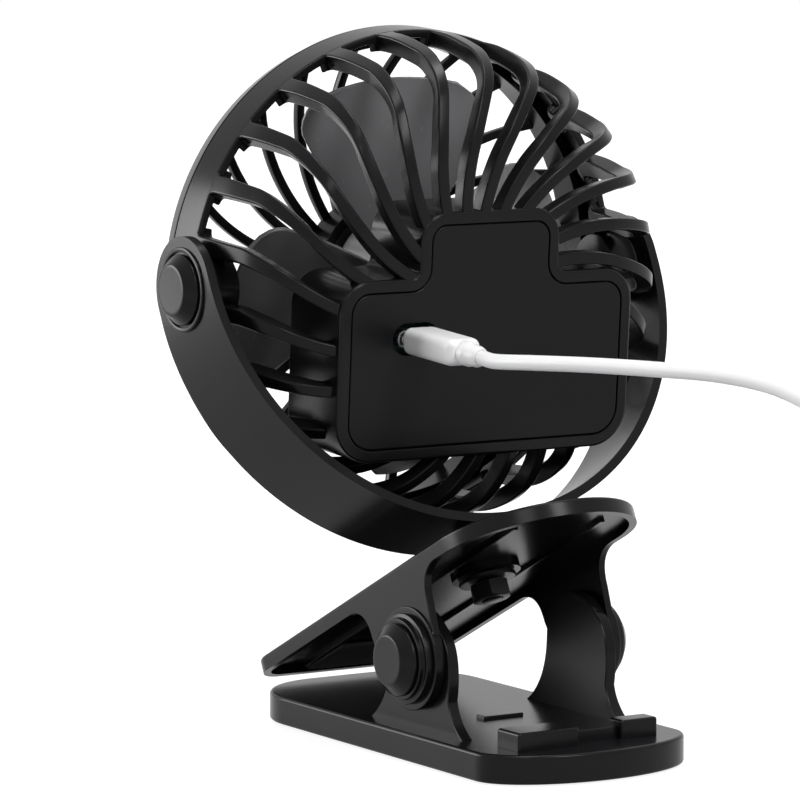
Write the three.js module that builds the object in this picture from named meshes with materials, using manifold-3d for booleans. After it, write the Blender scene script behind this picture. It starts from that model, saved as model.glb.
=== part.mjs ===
// A rechargeable clip fan, in millimetres, +Z up. The origin is the middle of the underside of the
// clip's foot, +Y points to the back of the fan and the fan blows towards -Y.
//
// The foot is the lower jaw of a spring clip. The upper jaw turns on two stub pins. A yoke swivels on
// a screw through the upper jaw, and the round head tilts between the yoke's arms.
import * as THREE from "three";
import { mergeVertices } from "three/addons/utils/BufferGeometryUtils.js";
import Module from "manifold-3d";

const wasm = await Module();
wasm.setup();

// ---------------------------------------------------------------- clearances
const SEAT_GAP = 0.3; // between a piece and the seat that carries it
const THREAD_GAP = 0.3; // round a pin or a screw in its hole
const OVERLAP = 0.6; // how far joined solids run into each other

// ---------------------------------------------------------------- clip: foot and lower jaw
const BASE_LENGTH = 131;
const BASE_HALF_WIDTH = 30.5;
const BASE_THICKNESS = 7.4;
const BASE_FRONT_RADIUS = 22;
const BASE_REAR_ROUND = 16.6; // length of the half ellipse at the back
const BASE_BEVEL = 0.8;
const PAD_INSET = 3;
const PAD_THICKNESS = 1;
const EAR_SPREAD = 25.1; // outer face of each ear from the middle
const EAR_THICKNESS = 2.5;
const EAR_RADIUS = 12.8;
const EAR_FRONT_FOOT = 22.8; // ahead of the hinge
const EAR_REAR_FOOT = 22; // behind the hinge
const STOP_HEIGHT = 4.7; // blocks on the foot behind the ears
const WALL_HEIGHT = 3; // low wall between the blocks

// ---------------------------------------------------------------- clip: hinge and upper jaw
const HINGE_Y = 14.5;
const HINGE_Z = 25.6;
const JAW_ANGLE = 25.8; // slope of the closed upper jaw, degrees
const JAW_RISE = 23.1; // hinge to the jaw's top face
const TIP_REACH = 77.5; // hinge to the tip
const HANDLE_REACH = 50.9; // hinge to the end of the handle
const JAW_HALF_WIDTH = 27.4;
const HANDLE_ROUND = 25.4; // length of the half ellipse of the handle
const TIP_RADIUS = 8.3;
const JAW_RIM = 4.1;
const JAW_SKIN = 2.4;
const JAW_BEVEL = 0.6;
const RIM_WIDTH = 2;
const CHEEK_FRONT = 15.2;
const CHEEK_REAR = 13.9;
const CHEEK_FILLET = 9;
const LIP_THICKNESS = 2.2;
const PAD_SIDE = 13.6; // rubber pad to the side rims
const PAD_LENGTH = 20;
const KNUCKLE_RADIUS = 13.2;
const KNUCKLE_REACH = 3.6; // past the cheek
const KNUCKLE_WALL = 1.6;
const KNUCKLE_STEP = 0.6; // height of the knuckle's rim over the cheek
const BEAD_RADIUS = 11.6;
const BEAD_HEIGHT = 1.6; // over the knuckle's rim
const NECK_RADIUS = 10.3;
const PIN_RADIUS = 2.5;
const PIN_SEAT = 1.6; // depth of the pin in the ear
const CAP_BASE_RADIUS = 9.3;
const CAP_FACE_RADIUS = 6.4;
const CAP_HEIGHT = 3.1;
const SPRING_RADIUS = 7;
const SPRING_WIRE = 0.65;
const SPRING_TURNS = 1.5;
const GRIP_RIDGES = [35, 40, 45]; // behind the hinge
const RIDGE_HEIGHT = 0.8;

// ---------------------------------------------------------------- swivel and yoke
const STEM_OFFSET = 1.65; // behind the hinge, along the jaw
const STEM_RADIUS = 2.6;
const STEM_RISE = 6.15; // jaw's top face to the yoke's bottom
const YOKE_CLEARANCE = 1.8; // head's ring to the yoke
const YOKE_WALL = 2.4;
const YOKE_DROP = 3.3; // tilt axis to the centre of the yoke's bow
const YOKE_HALF_WIDTH = 13.5;
const YOKE_FOOT_RADIUS = 6.5;
const STEM_HEAD_RADIUS = 5;
const STEM_HEAD = 1.8;
const WASHER_RADIUS = 7.5;
const WASHER_THICKNESS = 1.2;
const NUT_RADIUS = 5.4;
const NUT_THICKNESS = 4.6;
const ARM_BEAD_RADIUS = 10.8;
const ARM_CAP_RADIUS = 9;
const ARM_CAP_FACE = 6.6;
const ARM_CAP_HEIGHT = 3.2;
const PIVOT_SCREW_RADIUS = 1.5;
const PIVOT_SCREW_HEAD = 3.2;

// ---------------------------------------------------------------- head
const HEAD_DROP = 4; // the back of the head leans down, degrees
const RING_RADIUS = 64.3;
const RING_WALL = 2.2;
const RING_FRONT = -13.8; // along the head's axis from the tilt axis
const RING_REAR = -3;
const RIB_COUNT = 25;
const RIB_START = 9.8; // first rib at the ring, degrees
const RIB_SWIRL = 0.62; // degrees of swirl for each millimetre inward
const RIB_WIDTH = 5;
const RIB_WIDTH_INNER = 3.4;
const RIB_DEPTH = 4.4;
// Radius and depth of the cage's outer surface, from the ring to the flat back.
const CAGE_PROFILE = [
  [RING_RADIUS - 0.1, -5],
  [RING_RADIUS - 0.3, 4],
  [RING_RADIUS - 1.8, 13],
  [RING_RADIUS - 3.8, 20.5],
  [RING_RADIUS - 7.3, 27.5],
  [RING_RADIUS - 12.3, 32.3],
  [RING_RADIUS - 21.3, 35.8],
  [RING_RADIUS - 30.3, 36.6],
  [RING_RADIUS - 42.3, 36.6],
];
const BOSS_RADIUS = 9;
const BOSS_REACH = 0.6; // past the ring
const BOSS_LENGTH = 8;
const BACK = 37; // rear panel's plane behind the tilt axis
const POD_FRONT = 12.5;
const POD_WALL = 2;
const POD_RIM = 3.5;
const LEDGE = 1.5;
const COVER_THICKNESS = 2;
const PANEL_HALF_WIDTH = 40.5;
const PANEL_BOTTOM = -37;
const PANEL_SHOULDER = 2.5;
const TAB_HALF_WIDTH = 17.5;
const TAB_TOP = 19;
const TAB_RADIUS = 4;
const TAB_FILLET = 6;
const SHOULDER_RADIUS = 5;
const PANEL_FOOT_RADIUS = 7;
const PORT_X = 21.7;
const PORT_Z = -9.3;
const PORT_HALF_WIDTH = 6.6;
const PORT_RADIUS = 4;
const BATTERY_RADIUS = 9.1;
const BATTERY_LENGTH = 65;
const BOARD_THICKNESS = 1.6;
const BOARD_LEVEL = 27;
const SOCKET_HALF_WIDTH = 5.1;
const SOCKET_HALF_HEIGHT = 2.3;
const SOCKET_WALL = 0.5;

// ---------------------------------------------------------------- front grille, motor and blades
const BEZEL_FRONT = -21;
const GRILLE_FRONT = -27;
const BEZEL_WIDTH = 4.7;
const GRILLE_RIB_COUNT = 24;
const GRILLE_START = 7.5; // first rib at the bezel, degrees
const GRILLE_SWIRL = 0.45;
const GRILLE_RIB_WIDTH = 2.6;
const GRILLE_RIB_DEPTH = 2.6;
const HUB_RADIUS = 17;
const HUB_PLATE = 2.5;
const HUB_SKIRT = 6.5;
const BUTTON_RADIUS = 7;
const BUTTON_FLANGE = 8.4;
const BUTTON_PROUD = 0.6;
const BUTTON_TRAVEL = 1.2;
const SWITCH_HEIGHT = 1.6;
const MOTOR_RADIUS = 10;
const MOTOR_LENGTH = 11.5;
const SHAFT_RADIUS = 1;
const IMPELLER_HUB_RADIUS = 14;
const IMPELLER_HUB_WALL = 1.6;
const IMPELLER_FRONT = -16;
const IMPELLER_REAR = 6;
const IMPELLER_BOSS_RADIUS = 3;
const BLADE_COUNT = 4;
const BLADE_START = -8;
const BLADE_CLEARANCE = 12.3; // blade tips to the ring's outside
const BLADE_THICKNESS = 1.6;
const BLADE_MIDDLE = -4;
const BLADE_PITCH_HUB = 40;
const BLADE_PITCH_TIP = 22;

// ---------------------------------------------------------------- charging lead
const CORD_DIAMETER = 3.8;
const PLUG_HALF_WIDTH = 5.3;
const PLUG_HALF_HEIGHT = 4.1;
const PLUG_BODY = 22.5;
const PLUG_RELIEF = 7;
const PLUG_NECK_RADIUS = 3.3;
const TONGUE_HALF_WIDTH = 4.15;
const TONGUE_HALF_HEIGHT = 1.25;
const TONGUE_LENGTH = 6.5;
const COIL_X = -38;
const COIL_Y = 200;
const COIL_OUTER = 27;
const COIL_INNER = 16.6;
const COIL_TURNS = 2.25; // in each of the two layers
const COIL_TAIL = 16;
const GRIP_LENGTH = 26;
const GRIP_HALF_WIDTH = 7.6;
const GRIP_HALF_HEIGHT = 3.9;
const SHELL_LENGTH = 12.5;
const SHELL_HALF_WIDTH = 6;
const SHELL_HALF_HEIGHT = 2.25;
const SHELL_WALL = 0.4;

// ---------------------------------------------------------------- sizes that follow
const BEZEL_INNER = RING_RADIUS - BEZEL_WIDTH;
const BLADE_TIP = RING_RADIUS - BLADE_CLEARANCE;
const YOKE_RADIUS = RING_RADIUS + YOKE_CLEARANCE + YOKE_WALL;
const PIVOT_HEIGHT = STEM_RISE + YOKE_RADIUS + YOKE_DROP; // jaw's top face to the tilt axis

// ---------------------------------------------------------------- looks
const look = (color, roughness, metalness = 0) =>
  new THREE.MeshStandardMaterial({ color, roughness, metalness });
const BLACK_SHELL = look(0x1b1b1d, 0.35);
const BLACK_PANEL = look(0x17171a, 0.5);
const BLADE_GREY = look(0x3a3a3d, 0.4);
const RUBBER = look(0x141414, 0.85);
const STEEL = look(0x8f9194, 0.3, 1);
const WHITE_PLASTIC = look(0xf2f2f4, 0.4);
const GREEN_BOARD = look(0x1d5a35, 0.6);
const WRAP_BLUE = look(0x2f6fb0, 0.45);

// ---------------------------------------------------------------- shape helpers
const radians = THREE.MathUtils.degToRad;
const point = (x, y, z) => new THREE.Vector3(x, y, z);

// Closed faces of a geometry, with shared corners, as a solid for joining and cutting.
function solidOf(geometry) {
  const source = geometry.index ? geometry.toNonIndexed() : geometry;
  const bare = new THREE.BufferGeometry();
  bare.setAttribute("position", source.getAttribute("position"));
  const merged = mergeVertices(bare, 1e-4);
  return new wasm.Manifold(
    new wasm.Mesh({
      numProp: 3,
      vertProperties: merged.attributes.position.array,
      triVerts: new Uint32Array(merged.index.array),
    }),
  );
}

function geometryOf(solid) {
  const mesh = solid.getMesh();
  const geometry = new THREE.BufferGeometry();
  const corners = new Float32Array(mesh.numVert * 3);
  for (let i = 0; i < mesh.numVert; i++) {
    const from = i * mesh.numProp;
    corners.set(mesh.vertProperties.subarray(from, from + 3), i * 3);
  }
  geometry.setAttribute("position", new THREE.BufferAttribute(corners, 3));
  geometry.setIndex(new THREE.BufferAttribute(new Uint32Array(mesh.triVerts), 1));
  return geometry;
}

function join(...geometries) {
  const solids = geometries.map(solidOf);
  return geometryOf(solids.reduce((whole, next) => whole.add(next)));
}

function cut(geometry, ...tools) {
  const solids = tools.map(solidOf);
  return geometryOf(solids.reduce((whole, tool) => whole.subtract(tool), solidOf(geometry)));
}

function common(a, b) {
  return geometryOf(solidOf(a).intersect(solidOf(b)));
}

// Turns the faces of a closed geometry outward.
function facingOut(geometry) {
  const flat = geometry.index ? geometry.toNonIndexed() : geometry;
  const p = flat.getAttribute("position");
  const [a, b, c] = [point(), point(), point()];
  let volume = 0;
  for (let i = 0; i < p.count; i += 3) {
    a.fromBufferAttribute(p, i);
    b.fromBufferAttribute(p, i + 1);
    c.fromBufferAttribute(p, i + 2);
    volume += a.dot(b.cross(c));
  }
  if (volume >= 0) return flat;
  for (let i = 0; i < p.count; i += 3) {
    b.fromBufferAttribute(p, i + 1);
    c.fromBufferAttribute(p, i + 2);
    p.setXYZ(i + 1, c.x, c.y, c.z);
    p.setXYZ(i + 2, b.x, b.y, b.z);
  }
  return flat;
}

// A solid turned round the Y axis from a profile of [radius, height] points.
function turned(profile, segments = 32) {
  const points = profile.map(([r, y]) => new THREE.Vector2(r, y));
  return facingOut(new THREE.LatheGeometry(points, segments));
}

const ringProfile = (inner, outer, low, high) => [
  [inner, low],
  [outer, low],
  [outer, high],
  [inner, high],
  [inner, low],
];

const discProfile = (radius, low, high) => [
  [0, low],
  [radius, low],
  [radius, high],
  [0, high],
];

const alongX = (geometry) => geometry.rotateZ(-Math.PI / 2);
const alongZ = (geometry) => geometry.rotateX(Math.PI / 2);

function box(x0, x1, y0, y1, z0, z1) {
  const shape = new THREE.BoxGeometry(x1 - x0, y1 - y0, z1 - z0);
  return shape.translate((x0 + x1) / 2, (y0 + y1) / 2, (z0 + z1) / 2);
}

// An outline in X and Y, raised from z0 to z1, with an optional bevel on both edges.
function slab(shape, z0, z1, bevel = 0, curveSegments = 5) {
  const raised = new THREE.ExtrudeGeometry(shape, {
    depth: z1 - z0 - 2 * bevel,
    bevelEnabled: bevel > 0,
    bevelSize: bevel,
    bevelThickness: bevel,
    bevelOffset: -bevel,
    bevelSegments: 1,
    curveSegments,
  });
  return raised.translate(0, 0, z0 + bevel);
}

// An outline in Y and Z, stretched from x0 to x1.
function sidePlate(shape, x0, x1, curveSegments = 4) {
  const turn = new THREE.Matrix4().makeBasis(point(0, 1, 0), point(0, 0, 1), point(1, 0, 0));
  return slab(shape, x0, x1, 0, curveSegments).applyMatrix4(turn);
}

// An outline in X and Z, stretched along Y from y0 to y1.
function backPlate(shape, y0, y1, bevel = 0, curveSegments = 2) {
  return slab(shape, -y1, -y0, bevel, curveSegments).rotateX(Math.PI / 2);
}

// A solid through a row of rings that have the same number of corners.
function loft(rings) {
  const count = rings[0].length;
  const corners = [];
  const face = (...three) => three.forEach((p) => corners.push(p.x, p.y, p.z));
  for (let i = 0; i + 1 < rings.length; i++) {
    for (let j = 0; j < count; j++) {
      const k = (j + 1) % count;
      face(rings[i][j], rings[i][k], rings[i + 1][k]);
      face(rings[i][j], rings[i + 1][k], rings[i + 1][j]);
    }
  }
  const first = rings[0];
  const last = rings[rings.length - 1];
  for (let j = 1; j + 1 < count; j++) {
    face(first[0], first[j + 1], first[j]);
    face(last[0], last[j], last[j + 1]);
  }
  const geometry = new THREE.BufferGeometry();
  geometry.setAttribute("position", new THREE.Float32BufferAttribute(corners, 3));
  return facingOut(geometry);
}

// A round tube through points that lie nearly square to the axis they wind about.
function woundTube(points, radius, sides, axis) {
  const rings = points.map((here, i) => {
    const before = points[Math.max(i - 1, 0)];
    const after = points[Math.min(i + 1, points.length - 1)];
    const along = after.clone().sub(before).normalize();
    const side = axis.clone().cross(along).normalize();
    const up = along.clone().cross(side);
    return Array.from({ length: sides }, (_, j) => {
      const a = (2 * Math.PI * j) / sides;
      const out = side.clone().multiplyScalar(radius * Math.cos(a));
      return here.clone().add(out).addScaledVector(up, radius * Math.sin(a));
    });
  });
  return loft(rings);
}

function circle(x, y, radius) {
  const shape = new THREE.Shape();
  shape.absarc(x, y, radius, 0, 2 * Math.PI);
  return shape;
}

function roundedBox(halfWidth, halfHeight, radius) {
  const [w, h] = [halfWidth, halfHeight];
  const shape = new THREE.Shape();
  shape.moveTo(-w + radius, -h);
  shape.lineTo(w - radius, -h);
  shape.absarc(w - radius, -h + radius, radius, -Math.PI / 2, 0);
  shape.lineTo(w, h - radius);
  shape.absarc(w - radius, h - radius, radius, 0, Math.PI / 2);
  shape.lineTo(-w + radius, h);
  shape.absarc(-w + radius, h - radius, radius, Math.PI / 2, Math.PI);
  shape.lineTo(-w, -h + radius);
  shape.absarc(-w + radius, -h + radius, radius, Math.PI, 1.5 * Math.PI);
  return shape;
}

// ---------------------------------------------------------------- clip: foot

// The foot's outline, drawn in by an inset: square front with round corners, half ellipse behind.
function baseOutline(inset) {
  const w = BASE_HALF_WIDTH - inset;
  const front = -BASE_LENGTH / 2 + inset;
  const bend = BASE_LENGTH / 2 - BASE_REAR_ROUND;
  const r = BASE_FRONT_RADIUS - inset;
  const shape = new THREE.Shape();
  shape.moveTo(-w + r, front);
  shape.lineTo(w - r, front);
  shape.absarc(w - r, front + r, r, -Math.PI / 2, 0);
  shape.lineTo(w, bend);
  shape.absellipse(0, bend, w, BASE_REAR_ROUND - inset, 0, Math.PI, false, 0);
  shape.lineTo(-w, front + r);
  shape.absarc(-w + r, front + r, r, Math.PI, 1.5 * Math.PI);
  return shape;
}

// One ear, seen from the side: a round head on the hinge, spreading to the foot.
function earOutline() {
  const foot = BASE_THICKNESS - OVERLAP - HINGE_Z;
  const r = EAR_RADIUS;
  const shape = new THREE.Shape();
  shape.moveTo(-EAR_FRONT_FOOT, foot);
  shape.quadraticCurveTo(-r - 0.2, foot + 6, -r, 0);
  shape.absarc(0, 0, r, Math.PI, Math.PI / 4, true);
  shape.quadraticCurveTo(r + 4, r / 3, EAR_REAR_FOOT - 7.7, -r * 0.74);
  shape.quadraticCurveTo(EAR_REAR_FOOT - 6.5, foot + 4, EAR_REAR_FOOT, foot);
  return shape;
}

function basePlate() {
  const top = BASE_THICKNESS;
  const plate = slab(baseOutline(0), 0, top, BASE_BEVEL, 6);
  const recess = slab(baseOutline(PAD_INSET), -OVERLAP, PAD_THICKNESS + SEAT_GAP);
  const ears = [-EAR_SPREAD, EAR_SPREAD - EAR_THICKNESS].map((x) =>
    sidePlate(earOutline(), x, x + EAR_THICKNESS).translate(0, HINGE_Y, HINGE_Z),
  );
  const hole = discProfile(PIN_RADIUS + THREAD_GAP, EAR_SPREAD - PIN_SEAT - SEAT_GAP, EAR_SPREAD + 1);
  const pinHoles = [-1, 1].map((side) => alongX(turned(hole.map(([r, x]) => [r, side * x]), 16)));
  const low = top - OVERLAP;
  const blocks = [
    box(4, 22, 46, 56, low, top + STOP_HEIGHT),
    box(-21, -10, 48, 54, low, top + STOP_HEIGHT),
    box(-12, 6, 50, 52, low, top + WALL_HEIGHT),
    box(-8, 4, 9, 13, low, top + RIDGE_HEIGHT),
  ];
  const whole = join(cut(plate, recess), ...ears, ...blocks);
  return cut(whole, ...pinHoles.map((one) => one.translate(0, HINGE_Y, HINGE_Z)));
}

function basePad() {
  return slab(baseOutline(PAD_INSET + SEAT_GAP), 0, PAD_THICKNESS);
}

// ---------------------------------------------------------------- clip: upper jaw
// Drawn with the hinge at the origin, +Y along the jaw to the handle and +Z square to its top face.

function jawOutline(inset) {
  const w = JAW_HALF_WIDTH - inset;
  const tip = -TIP_REACH + inset;
  const bend = HANDLE_REACH - HANDLE_ROUND;
  const r = TIP_RADIUS - inset;
  const shape = new THREE.Shape();
  shape.moveTo(-w + r, tip);
  shape.lineTo(w - r, tip);
  shape.absarc(w - r, tip + r, r, -Math.PI / 2, 0);
  shape.lineTo(w, bend);
  shape.absellipse(0, bend, w, HANDLE_ROUND - inset, 0, Math.PI, false, 0);
  shape.lineTo(-w, tip + r);
  shape.absarc(-w + r, tip + r, r, Math.PI, 1.5 * Math.PI);
  return shape;
}

// A cheek hangs from the rim, with a fillet ahead and behind, and ends round the hinge.
function cheekOutline(rearOnly) {
  const low = JAW_RISE - JAW_RIM;
  const high = low + OVERLAP;
  const r = KNUCKLE_RADIUS;
  const shape = new THREE.Shape();
  const turnBack = radians(-24);
  if (rearOnly) {
    const lip = LIP_THICKNESS;
    shape.moveTo(CHEEK_REAR + CHEEK_FILLET - lip, high);
    shape.lineTo(CHEEK_REAR + CHEEK_FILLET - 2 * lip, low);
    shape.quadraticCurveTo(CHEEK_REAR - lip, low, CHEEK_REAR - lip, low - CHEEK_FILLET);
    shape.lineTo((r - lip) * Math.cos(turnBack), r * Math.sin(turnBack));
  } else {
    shape.moveTo(-CHEEK_FRONT - CHEEK_FILLET, high);
    shape.lineTo(-CHEEK_FRONT - CHEEK_FILLET, low);
    shape.quadraticCurveTo(-CHEEK_FRONT, low, -CHEEK_FRONT, low - CHEEK_FILLET);
    shape.lineTo(-r, 0);
    shape.absarc(0, 0, r, Math.PI, 2 * Math.PI + turnBack);
  }
  shape.lineTo(r * Math.cos(turnBack), r * Math.sin(turnBack));
  shape.lineTo(CHEEK_REAR, low - CHEEK_FILLET);
  shape.quadraticCurveTo(CHEEK_REAR, low, CHEEK_REAR + CHEEK_FILLET, low);
  shape.lineTo(CHEEK_REAR + CHEEK_FILLET, high);
  return shape;
}

const KNUCKLE_INNER = EAR_SPREAD + SEAT_GAP; // face of the knuckle next to the ear
const KNUCKLE_RIM = JAW_HALF_WIDTH + KNUCKLE_STEP;
const KNUCKLE_OUTER = JAW_HALF_WIDTH + KNUCKLE_REACH;
const SPRING_ROOM = SPRING_RADIUS + SPRING_WIRE + 1.2;

function upperJaw() {
  const top = JAW_RISE;
  const plate = cut(
    slab(jawOutline(0), top - JAW_RIM, top, JAW_BEVEL, 6),
    slab(jawOutline(RIM_WIDTH), top - JAW_RIM - OVERLAP, top - JAW_SKIN, 0, 6),
  );
  const cheeks = [];
  const knuckles = [];
  for (const side of [-1, 1]) {
    const span = (a, b) => [Math.min(side * a, side * b), Math.max(side * a, side * b)];
    cheeks.push(sidePlate(cheekOutline(false), ...span(KNUCKLE_INNER, JAW_HALF_WIDTH)));
    cheeks.push(sidePlate(cheekOutline(true), ...span(KNUCKLE_INNER, JAW_HALF_WIDTH)));
    const hole = PIN_RADIUS + THREAD_GAP;
    const knuckle = [
      [SPRING_ROOM, KNUCKLE_INNER],
      [KNUCKLE_RADIUS, KNUCKLE_INNER],
      [KNUCKLE_RADIUS, KNUCKLE_RIM],
      [BEAD_RADIUS, KNUCKLE_RIM],
      [BEAD_RADIUS - 0.3, KNUCKLE_RIM + BEAD_HEIGHT],
      [NECK_RADIUS, KNUCKLE_RIM + BEAD_HEIGHT],
      [NECK_RADIUS, KNUCKLE_OUTER],
      [hole, KNUCKLE_OUTER],
      [hole, KNUCKLE_OUTER - KNUCKLE_WALL],
      [SPRING_ROOM, KNUCKLE_OUTER - KNUCKLE_WALL],
      [SPRING_ROOM, KNUCKLE_INNER],
    ];
    knuckles.push(alongX(turned(knuckle.map(([r, x]) => [r, side * x]), 24)));
  }
  const middle = (SPRING_ROOM + KNUCKLE_RADIUS) / 2;
  const room = alongX(turned(discProfile(middle, -KNUCKLE_OUTER - 1, KNUCKLE_OUTER + 1), 24));
  const ribTop = top - JAW_SKIN + OVERLAP;
  const ribs = [-13, 13].map((x) => box(x - 0.8, x + 0.8, -TIP_REACH + 4, HANDLE_REACH - 12, ribTop - 1.6, ribTop));
  const ridges = GRIP_RIDGES.map((y) => box(-9, 9, y - 0.8, y + 0.8, top - OVERLAP, top + RIDGE_HEIGHT));
  const stemBoss = alongZ(turned(discProfile(WASHER_RADIUS + 1.5, top - JAW_RIM, top - OVERLAP), 24));
  const stemHole = alongZ(turned(discProfile(STEM_RADIUS + THREAD_GAP, top - JAW_RIM - 1, top + 1), 16));
  const hung = join(...knuckles, ...cheeks.map((cheek) => cut(cheek, room)), plate);
  const whole = join(hung, ...ribs, ...ridges, stemBoss.translate(0, STEM_OFFSET, 0));
  return cut(whole, stemHole.translate(0, STEM_OFFSET, 0));
}

function jawPad() {
  const top = JAW_RISE - JAW_SKIN - SEAT_GAP;
  const half = JAW_HALF_WIDTH - RIM_WIDTH - PAD_SIDE;
  const front = -TIP_REACH + RIM_WIDTH + SEAT_GAP;
  return box(-half, half, front, front + PAD_LENGTH, JAW_RISE - JAW_RIM + 0.2, top);
}

// A stub pin, pressed into the ear, with its free end in the cap.
function hingePin() {
  const end = KNUCKLE_OUTER + SEAT_GAP + CAP_HEIGHT / 2;
  return alongX(turned(discProfile(PIN_RADIUS, EAR_SPREAD - PIN_SEAT, end), 20));
}

// The torsion spring lies in the knuckle, round the pin, each turn inside the one before.
function clipSpring() {
  const steps = Math.round(12 * SPRING_TURNS);
  const room = KNUCKLE_OUTER - KNUCKLE_WALL - KNUCKLE_INNER;
  const wire = SPRING_WIRE;
  const start = KNUCKLE_INNER + wire + SEAT_GAP;
  const travel = room - 2 * wire - 2 * SEAT_GAP;
  const points = [];
  for (let i = 0; i <= steps; i++) {
    const a = (2 * Math.PI * SPRING_TURNS * i) / steps;
    const x = start + (travel * i) / steps;
    const r = SPRING_RADIUS - (2 * wire + SEAT_GAP) * SPRING_TURNS * (i / steps);
    points.push(point(x, r * Math.cos(a), r * Math.sin(a)));
  }
  return woundTube(points, wire, 5, point(1, 0, 0));
}

function hingeCap() {
  const foot = KNUCKLE_OUTER + SEAT_GAP;
  const face = foot + CAP_HEIGHT;
  const hollow = PIN_RADIUS + THREAD_GAP;
  return alongX(
    turned(
      [
        [0, face],
        [CAP_FACE_RADIUS, face],
          [CAP_BASE_RADIUS, foot + 0.6],
        [CAP_BASE_RADIUS, foot],
        [hollow, foot],
        [hollow, face - CAP_HEIGHT / 2 + THREAD_GAP],
        [0, face - CAP_HEIGHT / 2 + THREAD_GAP],
      ],
      24,
    ),
  );
}

// ---------------------------------------------------------------- swivel and yoke
// Drawn with the tilt axis at the origin and -Z along the stem to the jaw.

const YOKE_BOTTOM = -YOKE_DROP - YOKE_RADIUS;
const STEM_SEAT = YOKE_BOTTOM + YOKE_WALL; // inside face of the bow
const JAW_TOP = -PIVOT_HEIGHT;
const JAW_UNDER = JAW_TOP - JAW_RIM;

function yoke() {
  const outer = YOKE_RADIUS;
  const inner = YOKE_RADIUS - YOKE_WALL;
  const bow = new THREE.Shape();
  const high = YOKE_HALF_WIDTH;
  bow.moveTo(outer, high);
  bow.lineTo(outer, -YOKE_DROP);
  bow.absarc(0, -YOKE_DROP, outer, 0, -Math.PI, true);
  bow.lineTo(-outer, high);
  bow.lineTo(-inner, high);
  bow.lineTo(-inner, -YOKE_DROP);
  bow.absarc(0, -YOKE_DROP, inner, Math.PI, 2 * Math.PI, false);
  bow.lineTo(inner, high);
  const band = backPlate(bow, -YOKE_HALF_WIDTH, YOKE_HALF_WIDTH, 0, 18);
  const side = new THREE.Shape();
  side.moveTo(-YOKE_HALF_WIDTH, YOKE_BOTTOM - 5);
  side.lineTo(YOKE_HALF_WIDTH, YOKE_BOTTOM - 5);
  side.absarc(0, 0, YOKE_HALF_WIDTH, 0, Math.PI);
  const rounded = common(band, sidePlate(side, -outer - 5, outer + 5, 8));
  const foot = alongZ(turned(discProfile(YOKE_FOOT_RADIUS, JAW_TOP + SEAT_GAP, YOKE_BOTTOM + OVERLAP), 20));
  const bead = ringProfile(ARM_BEAD_RADIUS - 1.2, ARM_BEAD_RADIUS, outer - OVERLAP, outer + 0.6);
  const beads = [-1, 1].map((s) => alongX(turned(bead.map(([r, x]) => [r, s * x]), 24)));
  const stemHole = alongZ(turned(discProfile(STEM_RADIUS + THREAD_GAP, JAW_TOP - 1, STEM_SEAT + 2), 16));
  const armHole = alongX(turned(discProfile(PIVOT_SCREW_RADIUS + THREAD_GAP, -outer - 2, outer + 2), 12));
  return cut(join(rounded, foot, ...beads), stemHole, armHole);
}

const STEM_END = JAW_UNDER - WASHER_THICKNESS - NUT_THICKNESS - 3 * SEAT_GAP;

function swivelScrew() {
  const head = STEM_SEAT + SEAT_GAP;
  return alongZ(
    turned(
      [
        [0, head + STEM_HEAD],
        [STEM_HEAD_RADIUS - 1, head + STEM_HEAD],
        [STEM_HEAD_RADIUS, head + STEM_HEAD / 2],
        [STEM_HEAD_RADIUS, head],
        [STEM_RADIUS, head],
        [STEM_RADIUS, STEM_END],
        [0, STEM_END],
      ],
      20,
    ),
  );
}

function stemWasher() {
  const top = JAW_UNDER - SEAT_GAP;
  const profile = ringProfile(STEM_RADIUS + THREAD_GAP, WASHER_RADIUS, top - WASHER_THICKNESS, top);
  return alongZ(turned(profile, 32));
}

function stemNut() {
  const top = JAW_UNDER - WASHER_THICKNESS - 2 * SEAT_GAP;
  const hexagon = alongZ(turned(discProfile(NUT_RADIUS, top - NUT_THICKNESS, top), 6));
  const hole = alongZ(turned(discProfile(STEM_RADIUS + THREAD_GAP, top - NUT_THICKNESS - 1, top + 1), 24));
  return cut(hexagon, hole);
}

const BOSS_FACE = RING_RADIUS + BOSS_REACH;

function pivotWasher() {
  const gap = YOKE_RADIUS - YOKE_WALL - BOSS_FACE;
  const profile = ringProfile(
    PIVOT_SCREW_RADIUS + THREAD_GAP,
    BOSS_RADIUS - 0.6,
    BOSS_FACE + SEAT_GAP,
    BOSS_FACE + gap - SEAT_GAP,
  );
  return alongX(turned(profile, 32));
}

function pivotScrew() {
  const seat = YOKE_RADIUS + SEAT_GAP;
  const tip = BOSS_FACE - BOSS_LENGTH + 2;
  return alongX(
    turned(
      [
        [0, tip],
        [PIVOT_SCREW_RADIUS, tip],
        [PIVOT_SCREW_RADIUS, seat],
        [PIVOT_SCREW_HEAD, seat],
        [PIVOT_SCREW_HEAD, seat + 1.4],
        [0, seat + 1.4],
      ],
      20,
    ),
  );
}

function pivotCap() {
  const foot = YOKE_RADIUS + SEAT_GAP;
  const face = foot + ARM_CAP_HEIGHT;
  const hollow = PIVOT_SCREW_HEAD + 0.6;
  return alongX(
    turned(
      [
        [0, face],
        [ARM_CAP_FACE, face],
          [ARM_CAP_RADIUS, foot + 0.6],
        [ARM_CAP_RADIUS, foot],
        [hollow, foot],
        [hollow, foot + 1.4 + SEAT_GAP],
        [0, foot + 1.4 + SEAT_GAP],
      ],
      24,
    ),
  );
}

// ---------------------------------------------------------------- head
// Drawn with the tilt axis at the origin, +Y along the head's axis to the back.

// Where a rib lies: its angle at a radius, and the cage's surface there.
function ribAngle(start, radius) {
  const swirlFrom = RING_RADIUS - 2.3;
  return radians(start - RIB_SWIRL * Math.max(0, swirlFrom - radius));
}

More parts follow.
